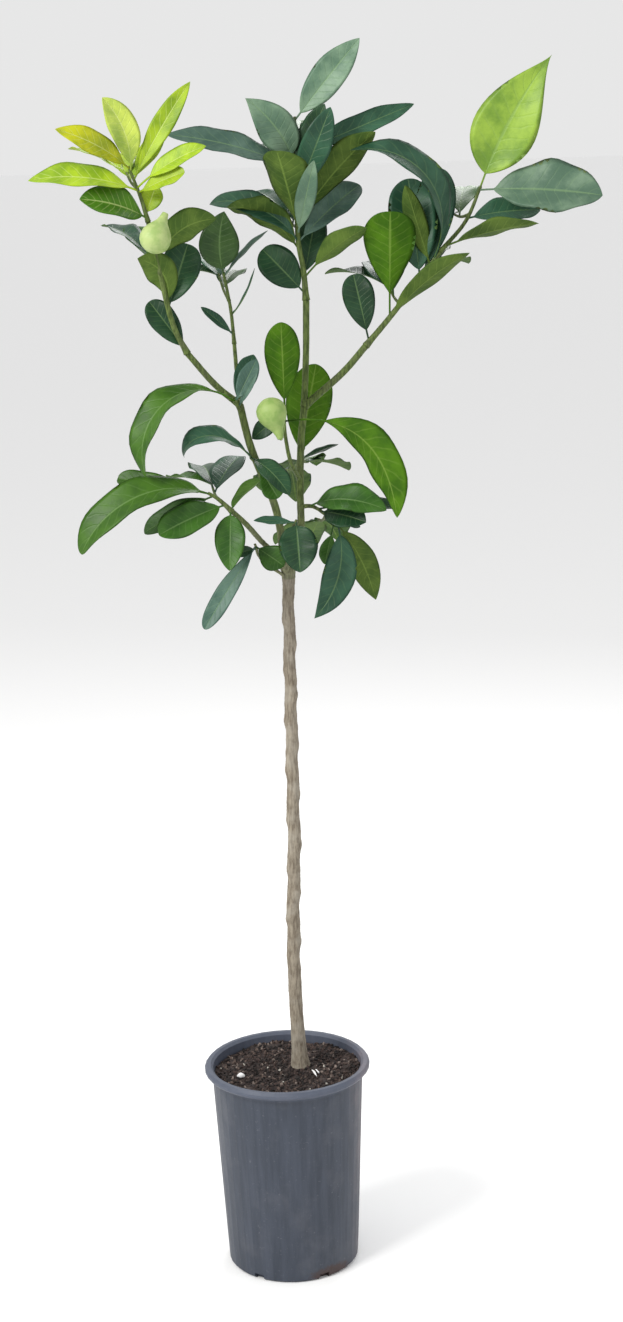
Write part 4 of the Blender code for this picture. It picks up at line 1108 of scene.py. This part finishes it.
def fine_blade(leaf, base, settings, rng):
    """A thin closed blade with its stalk, midrib, fold and wavy margin, and its UV for each vertex."""
    share, places, sides, normals = leaf_frames(leaf, base)
    fold = math.radians(LEAF_FOLD)
    waves = rng.uniform(*WAVES)
    phase = rng.uniform(0, 2 * math.pi)
    columns = settings.columns
    upper = []
    lower = []
    uvs = []
    for at in blade_shares(leaf, settings.rows):
        centre, side, normal = (np.array([np.interp(at, share, table[:, k]) for k in range(3)])
                                for table in (places, sides, normals))
        blade = min(max((at - leaf.stalk) / (1 - leaf.stalk), 0.0), 1.0)
        opened = min(blade / BLADE_EASE, 1.0)
        taper = 1 - PETIOLE_TAPER * blade
        drawn = half_width(leaf, blade) if 0 < blade < 1 else 0.0
        half = max(drawn, PETIOLE_RADIUS * min(taper, 1 - blade ** 8), TIP_HALF)
        rib = PETIOLE_RADIUS * taper
        for column in range(columns + 1):
            t = 2 * column / columns - 1
            t = math.copysign(abs(t) ** COLUMN_CROWDING, t)
            out = half * t * (math.cos(fold) * opened + 1 - opened)
            bend = (math.sqrt(t * t + FOLD_ROUNDING) - math.sqrt(FOLD_ROUNDING)) * math.sin(fold)
            turn = 2 * math.pi * waves * blade + phase + (SIDE_SHIFT if t > 0 else 0)
            ripple = settings.wave * math.sin(turn)
            lift = half * opened * (bend + ripple * t * t)
            near = math.exp(-(half * t / RIB_WIDTH) ** 2) * opened
            round_half = rib * math.sqrt(max(0.0, 1 - t * t)) * (1 - opened)
            thin = settings.thickness / 2 * (1 - EDGE_THINNING * abs(t) ** 4)
            thin *= 1 - TIP_THINNING * blade ** 6
            middle = centre + side * out + normal * lift
            edge = 0.0 if abs(t) == 1 else 1.0
            half_thick = thin * opened + round_half
            upper.append(middle + normal * edge * (half_thick - RIB_GROOVE * thin * near))
            lower.append(middle - normal * edge * (half_thick + RIB_HEIGHT * rib * near))
            uvs.append((0.5 + 0.5 * t, blade))
    return upper, lower, uvs


def blade_faces(rows, columns, base, inner):
    """Faces of the upper and the lower sheet, which share the vertices of their margins."""
    top = []
    under = []
    low_of = {}
    for row in range(rows + 1):
        for column in range(columns + 1):
            at = row * (columns + 1) + column
            own = inner + row * (columns - 1) + column - 1
            low_of[at] = base + at if column in (0, columns) else own
    for row in range(rows):
        for column in range(columns):
            a = row * (columns + 1) + column
            ring = (a, a + 1, a + columns + 2, a + columns + 1)
            top.append(tuple(base + k for k in ring))
            under.append(tuple(low_of[k] for k in reversed(ring)))
    first = [base + k for k in range(columns + 1)] + [low_of[k] for k in range(columns - 1, 0, -1)]
    far = rows * (columns + 1)
    last = [base + far + k for k in range(columns, -1, -1)]
    last += [low_of[far + k] for k in range(1, columns)]
    return top, under + [tuple(first)[::-1], tuple(last)[::-1]]


def leaves_piece(name, rows, settings, materials, seed):
    """One mesh of many blades, with their tints and blade coordinates."""
    rng = random.Random(seed)
    verts = []
    faces = []
    slots = []
    tints = []
    blade_uv = []
    columns = settings.columns
    for leaf, base, tint in rows:
        upper, lower, uvs = fine_blade(leaf, base, settings, rng)
        start = len(verts)
        verts += upper
        blade_uv += uvs
        inner = len(verts)
        count = len(upper) // (columns + 1) - 1
        for at, vert in enumerate(lower):
            if at % (columns + 1) not in (0, columns):
                verts.append(vert)
                blade_uv.append(uvs[at])
        top, under = blade_faces(count, columns, start, inner)
        faces += top + under
        slots += [0] * len(top) + [1] * len(under)
        shift = rng.uniform(*TINT_SHIFT)
        for sheet, colour in zip((top, under), TINTS[tint]):
            tone = [min(1.0, c * shift) for c in linear(colour)]
            tints += [(*tone, 1.0)] * sum(len(face) for face in sheet)
    piece = piece_from(name, verts, faces)
    mesh = piece.data
    for material in materials:
        mesh.materials.append(material)
    mesh.polygons.foreach_set("material_index", slots)
    colours = mesh.color_attributes.new("tint", "FLOAT_COLOR", "CORNER")
    colours.data.foreach_set("color", np.array(tints, np.float32).ravel())
    layer = mesh.uv_layers.new(name="blade")
    corner_vert = np.zeros(len(mesh.loops), np.int32)
    mesh.loops.foreach_get("vertex_index", corner_vert)
    layer.data.foreach_set("uv", np.array(blade_uv, np.float32)[corner_vert].ravel())
    return piece


class PLANT_OT_leaves(bpy.types.Operator):
    """Build the leaves, each a thin closed blade, mature and young ones apart"""
    bl_idname = "plant.leaves"
    bl_label = "Leaves"

    def execute(self, context):
        settings = context.scene.plant_leaves
        group = leaf_pattern_group()
        mature_sides = (
            leaf_material("leaf_upper", group, (120, 150, 92), 0.16, 0.42, 0.0005,
                          Specular_IOR_Level=0.24),
            leaf_material("leaf_under", group, (134, 158, 76), 0.22, 0.70, 0.0006,
                          Specular_IOR_Level=0.10))
        young_sides = (
            leaf_material("young_upper", group, (214, 224, 150), 0.25, 0.45, 0.0005,
                          Specular_IOR_Level=0.25),
            leaf_material("young_under", group, (218, 226, 160), 0.25, 0.55, 0.0006,
                          Specular_IOR_Level=0.15))
        _, leaves = plan_leaves()
        mature = [row for name, rows in leaves.items() if name != YOUNG_SHOOT for row in rows]
        nodes = [name for name in SHOOTS if name != YOUNG_SHOOT]
        piece = leaves_piece("mature_leaves", mature, settings, mature_sides, LEAF_SEED)
        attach(piece, "root")
        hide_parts(*nodes)
        young = leaves_piece("young_leaves", leaves[YOUNG_SHOOT], settings, young_sides, LEAF_SEED)
        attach(young, "root")
        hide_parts(YOUNG_SHOOT)
        return {"FINISHED"}


class PLANT_OT_fruit(bpy.types.Operator):
    """Build the two young fruits with their necks and stalks"""
    bl_idname = "plant.fruit"
    bl_label = "Young fruit"

    def execute(self, context):
        tubes = limb_tubes()
        parts = []
        tints = []
        nodes = [name for name, shoot in SHOOTS.items() if shoot.fruit]
        for name, tone in zip(nodes, FRUIT_TINTS):
            fruit = SHOOTS[name].fruit[0]
            body, stalk = self.fruit_parts(fruit, point_at(tubes[name][0], 0.8)[0])
            parts += [body, stalk]
            tints += [tone, tone]
        verts, faces = joined(parts)
        piece = piece_from("young_fruit", verts, faces)
        colours = piece.data.color_attributes.new("tint", "FLOAT_COLOR", "POINT")
        shades = []
        for (part_verts, _), tone in zip(parts, tints):
            shades += [(*linear(tone), 1.0)] * len(part_verts)
        colours.data.foreach_set("color", np.array(shades, np.float32).ravel())
        piece.data.materials.append(fruit_material())
        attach(piece, "root")
        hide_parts(*nodes)
        return {"FINISHED"}

    @staticmethod
    def fruit_parts(fruit, stem_point):
        """The pear-shaped body with its drawn-out neck, and a stalk to the stem."""
        axis = heading(fruit.turn, fruit.rise)
        centre = np.array(fruit.centre)
        wide = fruit.wide * MM / 2
        long = fruit.long * MM
        curve = np.array([centre + axis * long * along for along, _ in FRUIT_PROFILE])
        body_curve = smooth_route(curve, 4)
        body_radii = np.interp(np.linspace(0, 1, len(body_curve)), np.linspace(0, 1, len(curve)),
                               [wide * share for _, share in FRUIT_PROFILE])
        body = tube(body_curve, body_radii, FRUIT_COLUMNS)
        neck = curve[-1]
        foot = centre - axis * long * 0.2
        near = min((neck, foot), key=lambda end: np.linalg.norm(end - stem_point))
        route = (near, 0.5 * (near + stem_point), stem_point)
        stalk = fine_tube(route, FRUIT_STALK_RADII, FRUIT_STALK_COLUMNS)
        return body, stalk


def crumb_nodes():
    """Crumbs scattered over a surface: each turned, scaled and broken up by its own noise."""
    tree = bpy.data.node_groups.new("Crumbs", "GeometryNodeTree")
    tree.interface.new_socket(name="Geometry", in_out="INPUT", socket_type="NodeSocketGeometry")
    for label, kind in (("Density", "NodeSocketFloat"), ("Size", "NodeSocketFloat"),
                        ("Seed", "NodeSocketInt"), ("Material", "NodeSocketMaterial")):
        tree.interface.new_socket(name=label, in_out="INPUT", socket_type=kind)
    tree.interface.new_socket(name="Geometry", in_out="OUTPUT", socket_type="NodeSocketGeometry")
    given = tree.nodes.new("NodeGroupInput").outputs
    scatter = add(tree, "GeometryNodeDistributePointsOnFaces", {
        "Mesh": given["Geometry"], "Density": given["Density"], "Seed": given["Seed"]})
    ball = add(tree, "GeometryNodeMeshIcoSphere", {"Radius": 0.5, "Subdivisions": 2})
    spin = add(tree, "FunctionNodeRandomValue", {0: (0, 0, 0), 1: (6.28, 6.28, 6.28)},
               data_type="FLOAT_VECTOR")
    squash = add(tree, "FunctionNodeRandomValue", {0: (0.5, 0.4, 0.3), 1: (2.0, 1.3, 0.9)},
                 data_type="FLOAT_VECTOR")
    size = add(tree, "ShaderNodeVectorMath", {0: squash.outputs[0], "Scale": given["Size"]},
               operation="SCALE")
    each = add(tree, "FunctionNodeRandomValue", {2: 0.0, 3: 1.0}, data_type="FLOAT")
    placed = add(tree, "GeometryNodeInstanceOnPoints", {
        "Points": scatter.outputs["Points"], "Instance": ball.outputs["Mesh"],
        "Rotation": spin.outputs[0], "Scale": size.outputs[0]})
    told = add(tree, "GeometryNodeStoreNamedAttribute", {
        "Geometry": placed.outputs[0], "Name": "each", "Value": each.outputs[1]},
        data_type="FLOAT", domain="INSTANCE")
    real = add(tree, "GeometryNodeRealizeInstances", {"Geometry": told.outputs[0]})
    rough = add(tree, "ShaderNodeTexNoise", {"Scale": 600.0, "Detail": 2.0})
    centred = add(tree, "ShaderNodeVectorMath", {0: rough.outputs["Color"], 1: (0.5, 0.5, 0.5)},
                  operation="SUBTRACT")
    push = add(tree, "ShaderNodeVectorMath", {0: centred.outputs[0], "Scale": 0.0034},
               operation="SCALE")
    broken = add(tree, "GeometryNodeSetPosition",
                 {"Geometry": real.outputs[0], "Offset": push.outputs[0]})
    coloured = add(tree, "GeometryNodeSetMaterial", {
        "Geometry": broken.outputs[0], "Material": given["Material"]})
    made = tree.nodes.new("NodeGroupOutput")
    tree.links.new(coloured.outputs[0], made.inputs[0])
    return tree


def set_input(modifier, label, value):
    """Set a Geometry Nodes modifier's input by its name's identifier."""
    for item in modifier.node_group.interface.items_tree:
        if item.name == label and item.in_out == "INPUT":
            modifier[item.identifier] = value
            return
    raise ValueError(f"no input named {label}")


class PLANT_OT_soil(bpy.types.Operator):
    """Cover the soil with bark and peat crumbs, and give it its own material"""
    bl_idname = "plant.soil"
    bl_label = "Soil"

    def execute(self, context):
        settings = context.scene.plant_soil
        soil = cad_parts["soil"]
        soil.data.materials.clear()
        soil.data.materials.append(soil_material())
        crumbs = bpy.data.objects.new("soil_crumbs", self.top_of(soil))
        bpy.context.scene.collection.objects.link(crumbs)
        scatter = crumbs.modifiers.new("crumbs", "NODES")
        scatter.node_group = crumb_nodes()
        for label, value in (("Density", settings.density), ("Size", settings.crumb),
                             ("Seed", settings.seed), ("Material", crumb_material())):
            set_input(scatter, label, value)
        baked(crumbs)
        crumbs.data.shade_smooth()
        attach(crumbs, "root")
        chips = piece_from("soil_chips", *joined([fine_tube(*chip, TWIG_COLUMNS) for chip in CHIPS]))
        pale = chips.data.attributes.new("each", "FLOAT", "POINT")
        pale.data.foreach_set("value", [1.0] * len(chips.data.vertices))
        chips.data.materials.append(crumbs.data.materials[0])
        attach(chips, "root")
        return {"FINISHED"}

    @staticmethod
    def top_of(soil):
        """A copy of the faces of the soil that look up."""
        mesh = bpy.data.meshes.new("soil_top")
        work = bmesh.new()
        work.from_mesh(soil.data)
        hidden = [face for face in work.faces
                  if face.normal.z < 0.5 or face.calc_center_median().z < SOIL_TOP - 0.04]
        bmesh.ops.delete(work, geom=hidden, context="FACES")
        work.to_mesh(mesh)
        work.free()
        return mesh


class PLANT_OT_pot(bpy.types.Operator):
    """Give the pot its weathered plastic, with a painted rim light down its right side"""
    bl_idname = "plant.pot"
    bl_label = "Pot"

    def execute(self, context):
        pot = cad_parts["pot"]
        pot.data.materials.clear()
        pot.data.materials.append(pot_material())
        return {"FINISHED"}


def area_light(name, place, target, size, power, colour):
    """A square lamp that looks at a target."""
    data = bpy.data.lights.new(name, "AREA")
    data.shape = "SQUARE"
    data.size = size
    data.energy = power
    data.color = colour
    lamp = bpy.data.objects.new(name, data)
    lamp.location = place
    lamp.rotation_euler = (Vector(target) - Vector(place)).to_track_quat("-Z", "Y").to_euler()
    bpy.context.scene.collection.objects.link(lamp)


class PLANT_OT_stage(bpy.types.Operator):
    """Set the plain pale floor, the soft light and the camera of the photograph"""
    bl_idname = "plant.stage"
    bl_label = "Stage"

    def execute(self, context):
        settings = context.scene.plant_stage
        scene = context.scene
        scene.view_settings.view_transform = "Standard"
        self.floor()
        world = bpy.data.worlds.new("sky")
        world.use_nodes = True
        world.node_tree.nodes["Background"].inputs[0].default_value = (1.0, 1.0, 1.0, 1)
        world.node_tree.nodes["Background"].inputs[1].default_value = settings.sky
        scene.world = world
        power = settings.key_power
        area_light("key", (-1.9, -1.6, 2.6), (0.05, 0, 1.0), 1.2, power, (1.0, 0.99, 0.96))
        area_light("fill", (2.2, -1.4, 1.7), (0.05, 0, 0.9), 1.6, power * 0.12, (0.93, 0.96, 1.0))
        area_light("back", (0.6, 2.0, 2.4), (0.05, 0, 1.1), 1.2, power * 0.3, (1.0, 1.0, 1.0))
        self.camera(scene)
        return {"FINISHED"}

    @staticmethod
    def floor():
        corners = [(x * FLOOR_REACH, y * FLOOR_REACH, 0) for x, y in ((-1, -1), (1, -1), (1, 1), (-1, 1))]
        floor = piece_from("floor", corners, ((0, 1, 2, 3),))
        pale = bpy.data.materials.new("floor")
        pale.use_nodes = True
        shader = pale.node_tree.nodes["Principled BSDF"]
        shader.inputs["Base Color"].default_value = (0.96, 0.96, 0.96, 1)
        shader.inputs["Roughness"].default_value = 0.9
        floor.data.materials.append(pale)

    @staticmethod
    def camera(scene):
        data = bpy.data.cameras.new("camera")
        data.sensor_fit = "VERTICAL"
        data.sensor_height = 36
        data.lens = 36 * FOCAL_PIXELS / PHOTO_HEIGHT
        camera = bpy.data.objects.new("camera", data)
        camera.matrix_world = (
            Matrix.Translation(CAMERA_PLACE)
            @ Matrix.Rotation(math.radians(90 - CAMERA_TILT), 4, "X")
            @ Matrix.Rotation(math.radians(-CAMERA_ROLL), 4, "Z"))
        scene.collection.objects.link(camera)
        scene.camera = camera


class PLANT_PT_panel(bpy.types.Panel):
    """Sizes of the plant's visible pieces, and a button for each"""
    bl_idname = "PLANT_PT_panel"
    bl_label = "Potted tree"
    bl_space_type = "VIEW_3D"
    bl_region_type = "UI"
    bl_category = "Plant"

    def draw(self, context):
        layout = self.layout
        for label, settings in SETTINGS.items():
            group = getattr(context.scene, label)
            for key in settings.__annotations__:
                layout.prop(group, key)
        for operator in OPERATORS:
            layout.operator(operator.bl_idname)


SETTINGS = {
    "plant_wood": WoodSettings,
    "plant_leaves": LeafSettings,
    "plant_soil": SoilSettings,
    "plant_stage": StageSettings,
}
OPERATORS = (
    PLANT_OT_stage, PLANT_OT_wood, PLANT_OT_leaves, PLANT_OT_fruit, PLANT_OT_soil, PLANT_OT_pot)


def register():
    for label, settings in SETTINGS.items():
        bpy.utils.register_class(settings)
        setattr(bpy.types.Scene, label, bpy.props.PointerProperty(type=settings))
    for item in (*OPERATORS, PLANT_PT_panel):
        bpy.utils.register_class(item)


def unregister():
    for item in (PLANT_PT_panel, *reversed(OPERATORS)):
        bpy.utils.unregister_class(item)
    for label, settings in SETTINGS.items():
        delattr(bpy.types.Scene, label)
        bpy.utils.unregister_class(settings)


def main():
    register()
    bpy.ops.plant.stage()
    bpy.ops.plant.wood()
    bpy.ops.plant.leaves()
    bpy.ops.plant.fruit()
    bpy.ops.plant.soil()
    bpy.ops.plant.pot()


if __name__ == "__main__":
    main()
